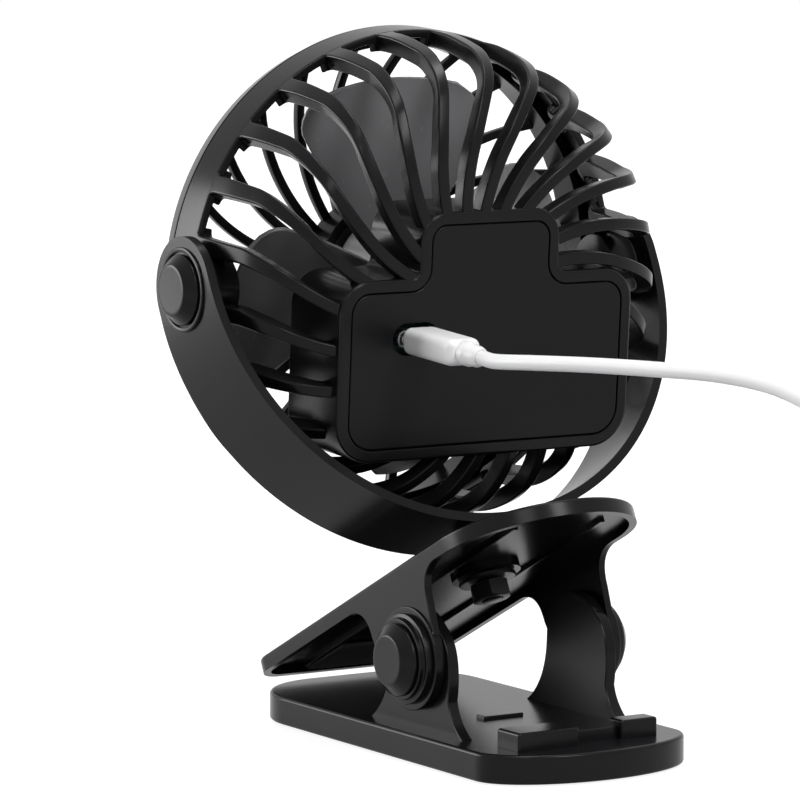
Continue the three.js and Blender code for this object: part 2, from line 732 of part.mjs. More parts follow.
// One swirled rib, a four-sided bar bent over the cage's shoulder.
function rearRib(start) {
  const stations = CAGE_PROFILE;
  const rings = stations.map(([r, h], i) => {
    const before = stations[Math.max(i - 1, 0)];
    const after = stations[Math.min(i + 1, stations.length - 1)];
    const slope = new THREE.Vector2(after[0] - before[0], after[1] - before[1]).normalize();
    const share = i / (stations.length - 1);
    const half = (RIB_WIDTH + (RIB_WIDTH_INNER - RIB_WIDTH) * Math.min(1, share * 2)) / 2;
    const deep = [r - slope.y * RIB_DEPTH, h + slope.x * RIB_DEPTH];
    return [
      [r, h, -half],
      [r, h, half],
      [deep[0], deep[1], half],
      [deep[0], deep[1], -half],
    ].map(([radius, height, aside]) => {
      const angle = ribAngle(start, r);
      const x = radius * Math.cos(angle) - aside * Math.sin(angle);
      const z = radius * Math.sin(angle) + aside * Math.cos(angle);
      return point(x, height, z);
    });
  });
  return loft(rings);
}

// The back panel: a wide body with a narrower tab on top, grown by an offset.
function panelOutline(grow) {
  const w = PANEL_HALF_WIDTH + grow;
  const t = TAB_HALF_WIDTH + grow;
  const top = TAB_TOP + grow;
  const shoulder = PANEL_SHOULDER + grow;
  const foot = PANEL_BOTTOM - grow;
  const r = Math.max(SHOULDER_RADIUS + grow, 1);
  const tab = Math.max(TAB_RADIUS + grow, 1);
  const low = Math.max(PANEL_FOOT_RADIUS + grow, 1);
  const fillet = Math.max(TAB_FILLET - grow, 1);
  const quarter = Math.PI / 2;
  const shape = new THREE.Shape();
  shape.moveTo(-w + low, foot);
  shape.lineTo(w - low, foot);
  shape.absarc(w - low, foot + low, low, -quarter, 0);
  shape.lineTo(w, shoulder - r);
  shape.absarc(w - r, shoulder - r, r, 0, quarter);
  shape.lineTo(t + fillet, shoulder);
  shape.absarc(t + fillet, shoulder + fillet, fillet, -quarter, -2 * quarter, true);
  shape.lineTo(t, top - tab);
  shape.absarc(t - tab, top - tab, tab, 0, quarter);
  shape.lineTo(-t + tab, top);
  shape.absarc(-t + tab, top - tab, tab, quarter, 2 * quarter);
  shape.lineTo(-t, shoulder + fillet);
  shape.absarc(-t - fillet, shoulder + fillet, fillet, 0, -quarter, true);
  shape.lineTo(-w + r, shoulder);
  shape.absarc(-w + r, shoulder - r, r, quarter, 2 * quarter);
  shape.lineTo(-w, foot + low);
  shape.absarc(-w + low, foot + low, low, 2 * quarter, 3 * quarter);
  return shape;
}

function rearShell() {
  const ring = turned(ringProfile(RING_RADIUS - RING_WALL, RING_RADIUS, RING_FRONT, RING_REAR), 48);
  const ribs = [];
  for (let k = 0; k < RIB_COUNT; k++) {
    ribs.push(rearRib(RIB_START + (360 / RIB_COUNT) * k));
  }
  const middle = backPlate(panelOutline(POD_RIM / 2), POD_FRONT - 2, BACK + 2);
  const cage = cut(join(ring, ...ribs), middle);
  const pod = cut(
    backPlate(panelOutline(POD_RIM), POD_FRONT, BACK, 0.6),
    backPlate(panelOutline(SEAT_GAP), BACK - COVER_THICKNESS - SEAT_GAP, BACK + 1),
    backPlate(panelOutline(-LEDGE), POD_FRONT + POD_WALL, BACK),
  );
  const bosses = [-1, 1].map((side) => {
    const profile = discProfile(BOSS_RADIUS, BOSS_FACE - BOSS_LENGTH, BOSS_FACE);
    return alongX(turned(profile.map(([r, x]) => [r, side * x]), 20));
  });
  const holes = [-1, 1].map((side) => {
    const depth = BOSS_FACE - BOSS_LENGTH + 1.4;
    const profile = discProfile(PIVOT_SCREW_RADIUS + THREAD_GAP, depth, BOSS_FACE + 1);
    return alongX(turned(profile.map(([r, x]) => [r, side * x]), 12));
  });
  return cut(join(cage, pod, ...bosses), ...holes);
}

function rearCover() {
  const cover = backPlate(panelOutline(0), BACK - COVER_THICKNESS, BACK);
  const port = roundedBox(PORT_HALF_WIDTH, PORT_RADIUS, PORT_RADIUS - 0.1);
  const hole = backPlate(port, BACK - COVER_THICKNESS - 1, BACK + 1, 0, 6);
  return cut(cover, hole.translate(PORT_X, 0, PORT_Z));
}

const BATTERY_Z = PANEL_BOTTOM + LEDGE + SEAT_GAP + BATTERY_RADIUS;
const POD_FLOOR = POD_FRONT + POD_WALL;

function battery() {
  const cell = alongX(
    turned(
      [
        [0, -BATTERY_LENGTH / 2],
        [BATTERY_RADIUS, -BATTERY_LENGTH / 2],
        [BATTERY_RADIUS, BATTERY_LENGTH / 2 - 2],
        [BATTERY_RADIUS - 1, BATTERY_LENGTH / 2 - 1],
        [3, BATTERY_LENGTH / 2 - 1],
        [3, BATTERY_LENGTH / 2],
        [0, BATTERY_LENGTH / 2],
      ],
      24,
    ),
  );
  return cell.translate(0, POD_FLOOR + SEAT_GAP + BATTERY_RADIUS, BATTERY_Z);
}

// The board stands on four posts above the pod's floor and carries the socket.
function circuitBoard() {
  const low = BATTERY_Z + BATTERY_RADIUS + 1.2;
  const high = TAB_TOP - LEDGE - 2.5;
  const half = TAB_HALF_WIDTH - LEDGE - 1;
  const wide = box(-half - 8, PORT_X + SOCKET_HALF_WIDTH + 3, BOARD_LEVEL, BOARD_LEVEL + BOARD_THICKNESS, low, 0);
  const tall = box(-half, half, BOARD_LEVEL, BOARD_LEVEL + BOARD_THICKNESS, -1, high);
  const posts = [
    [-half - 5, low + 3],
    [PORT_X, low + 3],
    [-half + 3, high - 3],
    [half - 3, high - 3],
  ].map(([x, z]) => turned(discProfile(1.6, POD_FLOOR + SEAT_GAP, BOARD_LEVEL + OVERLAP), 12).translate(x, 0, z));
  return join(wide, tall, ...posts);
}

const SOCKET_FOOT = BOARD_LEVEL + BOARD_THICKNESS + SEAT_GAP;
const SOCKET_MOUTH = BACK - 0.5;

function usbSocket() {
  const [w, h] = [SOCKET_HALF_WIDTH, SOCKET_HALF_HEIGHT];
  const body = backPlate(roundedBox(w, h, h - 0.1), SOCKET_FOOT, SOCKET_MOUTH, 0, 5);
  const inner = roundedBox(w - SOCKET_WALL, h - SOCKET_WALL, h - SOCKET_WALL - 0.1);
  const room = backPlate(inner, SOCKET_FOOT + 1, SOCKET_MOUTH + 1, 0, 5);
  return cut(body, room).translate(PORT_X, 0, PORT_Z);
}

// ---------------------------------------------------------------- front grille and switch

function grilleSurface(radius) {
  const share = (RING_RADIUS - radius) / (RING_RADIUS - HUB_RADIUS);
  const drop = 1 - Math.pow(1 - Math.min(1, Math.max(0, share)), 2.4);
  return BEZEL_FRONT + 2.6 - (BEZEL_FRONT + 2.6 - GRILLE_FRONT) * drop;
}

function grilleRib(start) {
  const rings = [];
  const steps = 4;
  const from = BEZEL_INNER + 1;
  const to = HUB_RADIUS - 1;
  for (let i = 0; i <= steps; i++) {
    const r = from + ((to - from) * i) / steps;
    const angle = radians(start + GRILLE_SWIRL * (r - BEZEL_INNER));
    const h = grilleSurface(r);
    const half = GRILLE_RIB_WIDTH / 2;
    rings.push(
      [
        [h, -half],
        [h, half],
        [h + GRILLE_RIB_DEPTH, half],
        [h + GRILLE_RIB_DEPTH, -half],
      ].map(([height, aside]) => {
        const x = r * Math.cos(angle) - aside * Math.sin(angle);
        const z = r * Math.sin(angle) + aside * Math.cos(angle);
        return point(x, height, z);
      }),
    );
  }
  return loft(rings);
}

const HUB_BACK = GRILLE_FRONT + HUB_PLATE;
const SWITCH_BOARD_RADIUS = HUB_RADIUS - 2.5;
const SWITCH_BOARD_LEVEL = HUB_BACK + HUB_SKIRT - 1.5;

function frontGrille() {
  const seam = RING_FRONT - SEAT_GAP;
  const sleeve = RING_RADIUS - RING_WALL - SEAT_GAP;
  const bezel = turned(
    [
      [RING_RADIUS, seam],
      [RING_RADIUS - 2, BEZEL_FRONT + 1],
      [RING_RADIUS - 3.2, BEZEL_FRONT],
      [BEZEL_INNER, BEZEL_FRONT + 0.6],
      [BEZEL_INNER, seam + 4.5],
      [sleeve, seam + 4.5],
      [sleeve, seam],
      [RING_RADIUS, seam],
    ],
    48,
  );
  const hub = turned(
    [
      [BUTTON_RADIUS + SEAT_GAP, GRILLE_FRONT],
      [HUB_RADIUS - 0.8, GRILLE_FRONT],
      [HUB_RADIUS, GRILLE_FRONT + 0.8],
      [HUB_RADIUS, HUB_BACK + HUB_SKIRT],
      [SWITCH_BOARD_RADIUS + SEAT_GAP, HUB_BACK + HUB_SKIRT],
      [SWITCH_BOARD_RADIUS + SEAT_GAP, HUB_BACK],
      [BUTTON_RADIUS + SEAT_GAP, HUB_BACK],
      [BUTTON_RADIUS + SEAT_GAP, GRILLE_FRONT],
    ],
    32,
  );
  const ribs = [];
  for (let k = 0; k < GRILLE_RIB_COUNT; k++) {
    ribs.push(grilleRib(GRILLE_START + (360 / GRILLE_RIB_COUNT) * k));
  }
  return join(bezel, hub, ...ribs);
}

const BUTTON_BACK = HUB_BACK + SEAT_GAP + 1;

function powerButton() {
  return turned(
    [
      [0, GRILLE_FRONT - BUTTON_PROUD],
      [BUTTON_RADIUS - 0.6, GRILLE_FRONT - BUTTON_PROUD],
      [BUTTON_RADIUS, GRILLE_FRONT],
      [BUTTON_RADIUS, HUB_BACK + SEAT_GAP],
      [BUTTON_FLANGE, HUB_BACK + SEAT_GAP],
      [BUTTON_FLANGE, BUTTON_BACK],
      [0, BUTTON_BACK],
    ],
    24,
  );
}

// A round board in the hub's skirt, with the switch that the button presses.
function switchBoard() {
  const level = SWITCH_BOARD_LEVEL;
  const board = turned(discProfile(SWITCH_BOARD_RADIUS, level, level + 1.5), 32);
  const plunger = BUTTON_BACK + BUTTON_TRAVEL + SEAT_GAP;
  const body = box(-3, 3, Math.min(plunger, level - SWITCH_HEIGHT), level + OVERLAP, -3, 3);
  return join(board, body);
}

// ---------------------------------------------------------------- motor and blades

const MOTOR_BACK = POD_FRONT - SEAT_GAP;
const MOTOR_FRONT = MOTOR_BACK - MOTOR_LENGTH;

function motor() {
  const bore = SHAFT_RADIUS + THREAD_GAP;
  return turned(
    [
      [bore, MOTOR_FRONT],
      [MOTOR_RADIUS - 0.8, MOTOR_FRONT],
      [MOTOR_RADIUS, MOTOR_FRONT + 0.8],
      [MOTOR_RADIUS, MOTOR_BACK],
      [0, MOTOR_BACK],
      [0, MOTOR_BACK - 3],
      [bore, MOTOR_BACK - 3],
      [bore, MOTOR_FRONT],
    ],
    24,
  );
}

function motorShaft() {
  const front = IMPELLER_FRONT + IMPELLER_HUB_WALL + SEAT_GAP;
  return turned(discProfile(SHAFT_RADIUS, front, MOTOR_BACK - 3 - SEAT_GAP), 16);
}

// One broad blade: its chord turns from steep at the hub to flat at the tip, with a round tip.
function blade(start) {
  const rings = [];
  const stations = [
    [0, 27],
    [0.14, 28],
    [0.35, 29],
    [0.6, 29],
    [0.84, 28],
    [0.94, 25],
    [1, 19],
  ];
  const root = IMPELLER_HUB_RADIUS - 1;
  for (const [share, half] of stations) {
    const r = root + (BLADE_TIP - root) * share;
    const pitch = Math.tan(radians(BLADE_PITCH_HUB + (BLADE_PITCH_TIP - BLADE_PITCH_HUB) * share));
    const front = [];
    const back = [];
    const slices = 5;
    for (let i = 0; i <= slices; i++) {
      const turn = radians(-half + (2 * half * i) / slices);
      const angle = radians(start) + turn;
      const camber = 2.2 * Math.cos((Math.PI * turn) / radians(2 * half));
      const h = BLADE_MIDDLE + r * turn * pitch * 0.92 - camber * share;
      const [x, z] = [r * Math.cos(angle), r * Math.sin(angle)];
      front.push(point(x, h - BLADE_THICKNESS / 2, z));
      back.push(point(x, h + BLADE_THICKNESS / 2, z));
    }
    rings.push([...front, ...back.reverse()]);
  }
  return bladeLoft(rings);
}

// As loft, with end caps cut in strips because the chord is curved.
function bladeLoft(rings) {
  const count = rings[0].length;
  const corners = [];
  const face = (...three) => three.forEach((p) => corners.push(p.x, p.y, p.z));
  for (let i = 0; i + 1 < rings.length; i++) {
    for (let j = 0; j < count; j++) {
      const k = (j + 1) % count;
      face(rings[i][j], rings[i][k], rings[i + 1][k]);
      face(rings[i][j], rings[i + 1][k], rings[i + 1][j]);
    }
  }
  const first = rings[0];
  const last = rings[rings.length - 1];
  for (let j = 0; j + 1 < count / 2; j++) {
    const across = count - 1 - j;
    face(first[j], first[across], first[j + 1]);
    face(first[j + 1], first[across], first[across - 1]);
    face(last[j], last[j + 1], last[across]);
    face(last[j + 1], last[across - 1], last[across]);
  }
  const geometry = new THREE.BufferGeometry();
  geometry.setAttribute("position", new THREE.Float32BufferAttribute(corners, 3));
  return facingOut(geometry);
}

function impeller() {
  const inside = IMPELLER_HUB_RADIUS - IMPELLER_HUB_WALL;
  const floor = IMPELLER_FRONT + IMPELLER_HUB_WALL;
  const boss = IMPELLER_BOSS_RADIUS;
  const bore = SHAFT_RADIUS + THREAD_GAP;
  const bossEnd = MOTOR_FRONT - 1;
  const hub = turned(
    [
      [0, IMPELLER_FRONT],
      [IMPELLER_HUB_RADIUS - 1.4, IMPELLER_FRONT],
      [IMPELLER_HUB_RADIUS, IMPELLER_FRONT + 1.4],
      [IMPELLER_HUB_RADIUS, IMPELLER_REAR],
      [inside, IMPELLER_REAR],
      [inside, floor],
      [boss, floor],
      [boss, bossEnd],
      [bore, bossEnd],
      [bore, floor],
      [0, floor],
    ],
    32,
  );
  const blades = [];
  for (let k = 0; k < BLADE_COUNT; k++) {
    blades.push(blade(BLADE_START + (360 / BLADE_COUNT) * k));
  }
  const inner = turned(discProfile(inside + 0.2, floor, IMPELLER_REAR + 4), 24);
  const trimmed = blades.map((one) => cut(one, inner));
  return join(hub, ...trimmed);
}

// ---------------------------------------------------------------- charging lead

const PLUG_FOOT = BACK + 0.6;
const PLUG_END = PLUG_FOOT + PLUG_BODY + PLUG_RELIEF;
const TONGUE_FOOT = PLUG_FOOT - SEAT_GAP;

function usbPlug() {
  const [w, h] = [PLUG_HALF_WIDTH, PLUG_HALF_HEIGHT];
  const body = backPlate(roundedBox(w, h, 2.6), PLUG_FOOT, PLUG_FOOT + PLUG_BODY, 0.7, 5);
  const relief = turned(
    [
      [0, PLUG_FOOT + PLUG_BODY - OVERLAP],
      [PLUG_NECK_RADIUS, PLUG_FOOT + PLUG_BODY - OVERLAP],
      [PLUG_NECK_RADIUS, PLUG_END - 4],
      [CORD_DIAMETER / 2 + 0.5, PLUG_END],
      [0, PLUG_END],
    ],
    24,
  );
  return join(body, relief).translate(PORT_X, 0, PORT_Z);
}

function plugTongue() {
  const [w, h] = [TONGUE_HALF_WIDTH, TONGUE_HALF_HEIGHT];
  const outline = roundedBox(w, h, h - 0.1);
  return backPlate(outline, TONGUE_FOOT - TONGUE_LENGTH, TONGUE_FOOT, 0, 5).translate(PORT_X, 0, PORT_Z);
}

// ---------------------------------------------------------------- assembly
const group = new THREE.Group();
group.name = "clip_fan";

function place(parent, name, geometry, material) {
  const mesh = new THREE.Mesh(geometry, material);
  mesh.name = name;
  parent.add(mesh);
  return mesh;
}

const hinge = new THREE.Group();
hinge.position.set(0, HINGE_Y, HINGE_Z);

const jaw = new THREE.Group();
jaw.rotation.x = radians(JAW_ANGLE);
hinge.add(jaw);

const tilt = new THREE.Group();
tilt.position.set(0, STEM_OFFSET, JAW_RISE + PIVOT_HEIGHT);
jaw.add(tilt);

const head = new THREE.Group();
head.rotation.x = radians(-JAW_ANGLE - HEAD_DROP);
tilt.add(head);
group.add(hinge);
group.updateMatrixWorld(true);

place(group, "base_plate", basePlate(), BLACK_SHELL);
place(group, "base_pad", basePad(), RUBBER);

place(jaw, "upper_jaw", upperJaw(), BLACK_SHELL);
place(jaw, "jaw_pad", jawPad(), RUBBER);

// Pieces that come in pairs, drawn for the +X side and turned half round for the other.
function pair(parent, name, make, material) {
  place(parent, name + "_near", make(), material);
  place(parent, name + "_far", make(), material).rotation.z = Math.PI;
}

pair(hinge, "hinge_pin", hingePin, STEEL);
pair(hinge, "clip_spring", clipSpring, STEEL);
pair(hinge, "hinge_cap", hingeCap, BLACK_SHELL);

place(tilt, "yoke", yoke(), BLACK_SHELL);
place(tilt, "swivel_screw", swivelScrew(), STEEL);
place(tilt, "stem_washer", stemWasher(), STEEL);
place(tilt, "stem_nut", stemNut(), STEEL);
pair(tilt, "pivot_washer", pivotWasher, RUBBER);
pair(tilt, "pivot_screw", pivotScrew, STEEL);
pair(tilt, "pivot_cap", pivotCap, BLACK_SHELL);

place(head, "rear_shell", rearShell(), BLACK_SHELL);
place(head, "rear_cover", rearCover(), BLACK_PANEL);
place(head, "battery", battery(), WRAP_BLUE);
place(head, "circuit_board", circuitBoard(), GREEN_BOARD);
place(head, "usb_socket", usbSocket(), STEEL);
place(head, "front_grille", frontGrille(), BLACK_SHELL);
place(head, "power_button", powerButton(), BLACK_PANEL);
place(head, "switch_board", switchBoard(), GREEN_BOARD);
place(head, "motor", motor(), STEEL);
place(head, "motor_shaft", motorShaft(), STEEL);
place(head, "impeller", impeller(), BLADE_GREY);
place(head, "usb_plug", usbPlug(), WHITE_PLASTIC);
place(head, "plug_tongue", plugTongue(), STEEL);

// ---------------------------------------------------------------- the lead's route
// It leaves the plug level, hangs over to the floor and runs into a flat coil of two layers.

const CORD_RADIUS = CORD_DIAMETER / 2;
const FLOOR_LEVEL = CORD_RADIUS + 0.1;
const cordStart = head.localToWorld(point(PORT_X, PLUG_END + SEAT_GAP, PORT_Z));
const cordAhead = head.localToWorld(point(PORT_X, PLUG_END + 6, PORT_Z));

// Points of the coil: in along the floor, up one layer where the spiral turns back, then out.
function coilPoints() {
  const points = [];
  const steps = Math.round(24 * COIL_TURNS);
  const climb = 12;
  const entry = radians(0);
  const rise = CORD_DIAMETER + 0.6;
  for (let i = 0; i <= 2 * steps; i++) {
    const inward = i <= steps;
    const share = inward ? i / steps : (2 * steps - i) / steps;
    const r = COIL_OUTER + (COIL_INNER - COIL_OUTER) * share;
    const up = THREE.MathUtils.clamp((i - steps + climb / 2) / climb, 0, 1);
    const a = entry + (2 * Math.PI * i) / 24;
    points.push(point(COIL_X + r * Math.cos(a), COIL_Y + r * Math.sin(a), FLOOR_LEVEL + rise * up));
  }
  return points;
}

const turns = coilPoints();
const lead = [
  point(COIL_X + COIL_OUTER, COIL_Y - CORD_DIAMETER - 2, FLOOR_LEVEL),
  point(COIL_X + COIL_OUTER, COIL_Y - 2.5, FLOOR_LEVEL),
];
const last = turns[turns.length - 1];
const outward = last.clone().sub(turns[turns.length - 2]).setZ(0).normalize();
const tail = [
  last.clone().addScaledVector(outward, 5).setZ(last.z - 1),
  last.clone().addScaledVector(outward, COIL_TAIL).setZ(GRIP_HALF_HEIGHT + 0.5),
  last.clone().addScaledVector(outward, COIL_TAIL + CORD_DIAMETER + 1).setZ(GRIP_HALF_HEIGHT + 0.1),
];
const coilPath = [...lead, ...turns, ...tail];
const coilEnd = tail[tail.length - 1];

// The least gap between turns of the coil that lie side by side.
function leastGap(points, radius) {
  let least = Infinity;
  for (let i = 0; i < points.length; i++) {
    for (let j = i + 12; j < points.length; j++) {
      least = Math.min(least, points[i].distanceTo(points[j]) - 2 * radius);
    }
  }
  return least;
}
console.log("least gap in the coil " + leastGap(coilPath, CORD_RADIUS).toFixed(2) + " mm");

function cordCoil() {
  return woundTube(coilPath, CORD_RADIUS, 6, point(0, 0, 1));
}

function chargingCord() {
  const route = [
    cordStart,
    cordAhead,
    point(19.6, 57, 103.6),
    point(14.6, 76, 104.4),
    point(9.4, 95, 104.8),
    point(4, 115, 104.8),
    point(-0.8, 132, 102.6),
    point(-4.4, 146, 96.8),
    point(-7.4, 156, 87),
    point(-9.2, 163, 72),
    point(-10.2, 167, 55),
    point(-10.8, 169.6, 39),
    point(-11, 173, 24.5),
    point(-11, 178, 12.6),
    point(COIL_X + COIL_OUTER, 184, 4.8),
    point(COIL_X + COIL_OUTER, 188.6, FLOOR_LEVEL + 0.2),
    point(COIL_X + COIL_OUTER, lead[0].y - SEAT_GAP - 2.5, FLOOR_LEVEL),
    point(COIL_X + COIL_OUTER, lead[0].y - SEAT_GAP, FLOOR_LEVEL),
  ];
  const section = new THREE.Shape();
  for (let i = 0; i < 8; i++) {
    const a = (2 * Math.PI * i) / 8;
    const at = [CORD_RADIUS * Math.cos(a), CORD_RADIUS * Math.sin(a)];
    if (i) section.lineTo(...at);
    else section.moveTo(...at);
  }
  return new THREE.ExtrudeGeometry(section, {
    steps: 40,
    extrudePath: new THREE.CatmullRomCurve3(route),
  });
}

place(group, "charging_cord", chargingCord(), WHITE_PLASTIC);
place(group, "cord_coil", cordCoil(), WHITE_PLASTIC);

// The far plug lies on the floor, in line with the coil's tail.
const farPlug = new THREE.Group();
farPlug.position.set(coilEnd.x, coilEnd.y, GRIP_HALF_HEIGHT + 0.1);
farPlug.rotation.z = Math.atan2(outward.y, outward.x) - Math.PI / 2;
group.add(farPlug);

function usbGrip() {
  const outline = roundedBox(GRIP_HALF_WIDTH, GRIP_HALF_HEIGHT, 1.6);
  return backPlate(outline, SEAT_GAP, SEAT_GAP + GRIP_LENGTH, 0.8, 4);
}

function usbShell() {
  const foot = 2 * SEAT_GAP + GRIP_LENGTH;
  const [w, h] = [SHELL_HALF_WIDTH, SHELL_HALF_HEIGHT];
  const outer = box(-w, w, foot, foot + SHELL_LENGTH, -h, h);
  const wall = SHELL_WALL;
  const mouth = box(-w + wall, w - wall, foot + 3, foot + SHELL_LENGTH + 1, -0.2, h - wall);
  return cut(outer, mouth);
}

place(farPlug, "usb_a_grip", usbGrip(), WHITE_PLASTIC);
place(farPlug, "usb_a_shell", usbShell(), STEEL);

export default group;
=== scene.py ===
import math

import bmesh
import bpy
from mathutils import Matrix, Vector


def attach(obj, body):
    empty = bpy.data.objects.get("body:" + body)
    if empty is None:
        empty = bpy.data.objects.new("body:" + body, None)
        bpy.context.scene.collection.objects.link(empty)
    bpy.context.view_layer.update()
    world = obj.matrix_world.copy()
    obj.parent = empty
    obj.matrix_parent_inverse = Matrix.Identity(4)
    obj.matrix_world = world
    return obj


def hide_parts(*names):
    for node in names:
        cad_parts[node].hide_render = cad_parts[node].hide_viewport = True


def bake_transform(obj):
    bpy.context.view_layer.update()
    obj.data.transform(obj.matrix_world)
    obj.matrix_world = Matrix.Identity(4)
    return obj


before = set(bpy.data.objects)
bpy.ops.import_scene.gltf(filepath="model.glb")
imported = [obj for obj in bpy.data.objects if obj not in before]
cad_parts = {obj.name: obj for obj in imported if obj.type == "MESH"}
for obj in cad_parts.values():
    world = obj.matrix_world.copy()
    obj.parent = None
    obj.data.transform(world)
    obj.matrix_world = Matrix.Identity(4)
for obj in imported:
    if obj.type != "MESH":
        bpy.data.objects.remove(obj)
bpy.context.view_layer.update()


# ---------------------------------------------------------------- camera and studio
# The fan stands on a white table, seen from behind and a little above, through a long lens.
# A large soft panel stands to the left, in front of the fan, a narrow one hangs over it, and two
# weak ones light its back from above.
MM = 0.001
FRAME_PIXELS, LENS_PIXELS, SENSOR = 800, 4851.7, 36
AIM_RIGHT, AIM_DOWN = 13.96, 60.3
FAN_MIDDLE = Vector((0, 0, 0.09))
WORLD_LIGHT = 0.07
FLOOR_GREY = (0.3, 0.3, 0.305, 1)

camera_at = Vector((0.6713, 1.0337, 0.2259))
look_back = Vector((0.5273, 0.8439, 0.0989)).normalized()
look_right = (-look_back).cross(Vector((0, 0, 1))).normalized()
look_up = look_right.cross(-look_back)
look_at = -look_back + look_right * (AIM_RIGHT / LENS_PIXELS) - look_up * (AIM_DOWN / LENS_PIXELS)

camera = bpy.data.objects.new("camera", bpy.data.cameras.new("camera"))
camera.data.sensor_fit = "HORIZONTAL"
camera.data.sensor_width = SENSOR
camera.data.lens = LENS_PIXELS / FRAME_PIXELS * SENSOR
camera.data.clip_end = 50
camera.location = camera_at
camera.rotation_euler = look_at.to_track_quat("-Z", "Y").to_euler()
bpy.context.scene.collection.objects.link(camera)
bpy.context.scene.camera = camera
bpy.context.scene.view_settings.view_transform = "Standard"


def panel(name, place, width, height, watts):
    data = bpy.data.lights.new(name, "AREA")
    data.shape = "RECTANGLE"
    data.size = width
    data.size_y = height
    data.energy = watts
    lamp = bpy.data.objects.new(name, data)
    lamp.location = place
    lamp.rotation_euler = (FAN_MIDDLE - Vector(place)).to_track_quat("-Z", "Y").to_euler()
    bpy.context.scene.collection.objects.link(lamp)


panel("left_panel", (1.15, -1.1, 0.3), 0.95, 0.8, 23)
panel("top_panel", (-0.1, 0.1, 1.4), 1.5, 0.25, 10)
panel("back_panel", (-0.2, 1.12, 1.03), 0.3, 0.7, 10)
panel("fill_panel", (0.8, 1.25, 1.15), 0.5, 0.5, 4)


def seen_or_mirrored(tree):
    """1 for a ray that shows the background: the camera's, one off a gloss, or one through glass."""
    path = tree.nodes.new("ShaderNodeLightPath")
    rays = path.outputs["Is Camera Ray"]
    for kind in ("Is Glossy Ray", "Is Transmission Ray"):
        either = tree.nodes.new("ShaderNodeMath")
        either.operation = "MAXIMUM"
        tree.links.new(rays, either.inputs[0])
        tree.links.new(path.outputs[kind], either.inputs[1])
        rays = either.outputs[0]
    return rays


world = bpy.data.worlds.new("studio")
bpy.context.scene.world = world
world.use_nodes = True
tree = world.node_tree
tree.nodes.clear()
out = tree.nodes.new("ShaderNodeOutputWorld")
mix = tree.nodes.new("ShaderNodeMixShader")
tree.links.new(seen_or_mirrored(tree), mix.inputs["Fac"])
for socket, strength in ((1, WORLD_LIGHT), (2, 1.0)):
    white = tree.nodes.new("ShaderNodeBackground")
    white.inputs["Color"].default_value = (1, 1, 1, 1)
    white.inputs["Strength"].default_value = strength
    tree.links.new(white.outputs[0], mix.inputs[socket])
tree.links.new(mix.outputs[0], out.inputs["Surface"])


def deselect():
    if bpy.context.object and bpy.context.object.mode != "OBJECT":
        bpy.ops.object.mode_set(mode="OBJECT")
    bpy.ops.object.select_all(action="DESELECT")


def take(piece):
    deselect()
    bpy.context.view_layer.objects.active = piece
    piece.select_set(True)


deselect()
bpy.ops.mesh.primitive_plane_add(size=8, location=(0, 0, -0.4 * MM))
floor = bpy.context.object
floor.name = "floor"
floor_skin = bpy.data.materials.new("table_top")
floor_skin.use_nodes = True
tree = floor_skin.node_tree
shader = tree.nodes["Principled BSDF"]
shader.inputs["Base Color"].default_value = FLOOR_GREY
shader.inputs["Roughness"].default_value = 0.6
lift = tree.nodes.new("ShaderNodeMath")
lift.operation = "MULTIPLY"
place = tree.nodes.new("ShaderNodeTexCoord")
away = tree.nodes.new("ShaderNodeVectorMath")
away.operation = "LENGTH"
fade = tree.nodes.new("ShaderNodeMapRange")
for socket, value in (("From Min", 0.25), ("From Max", 0.9), ("To Min", 0.86), ("To Max", 1.0)):
    fade.inputs[socket].default_value = value
tree.links.new(place.outputs["Object"], away.inputs[0])
tree.links.new(away.outputs["Value"], fade.inputs["Value"])
tree.links.new(fade.outputs[0], lift.inputs[1])
tree.links.new(seen_or_mirrored(tree), lift.inputs[0])
shader.inputs["Emission Color"].default_value = (1, 1, 1, 1)
tree.links.new(lift.outputs[0], shader.inputs["Emission Strength"])
floor.data.materials.append(floor_skin)


# ---------------------------------------------------------------- charging lead
# A white PVC-jacketed lead of two power cores, 3.8 mm thick and 0.87 m long, made by extrusion.
# It leaves its plug level, hangs over to the table and ends in a neat coil and a wide flat plug.
CORD = 3.8 * MM
HEAD_TILT = -4
PIVOT = Vector((0, -27.994, 117.309)) * MM
HEAD = Matrix.Translation(PIVOT) @ Matrix.Rotation(math.radians(HEAD_TILT), 4, "X")
PORT_X, PORT_Z = 21.7, -9.3
COIL_X, COIL_Y, COIL_OUTER, COIL_INNER = -38, 200, 27, 16.6
LAYER_STEPS, TURN_STEPS = 54, 24


def head_point(x, h, u):
    """A place in the head's own frame, in millimetres, as a place in the scene."""
    return HEAD @ (Vector((x, h, u)) * MM)


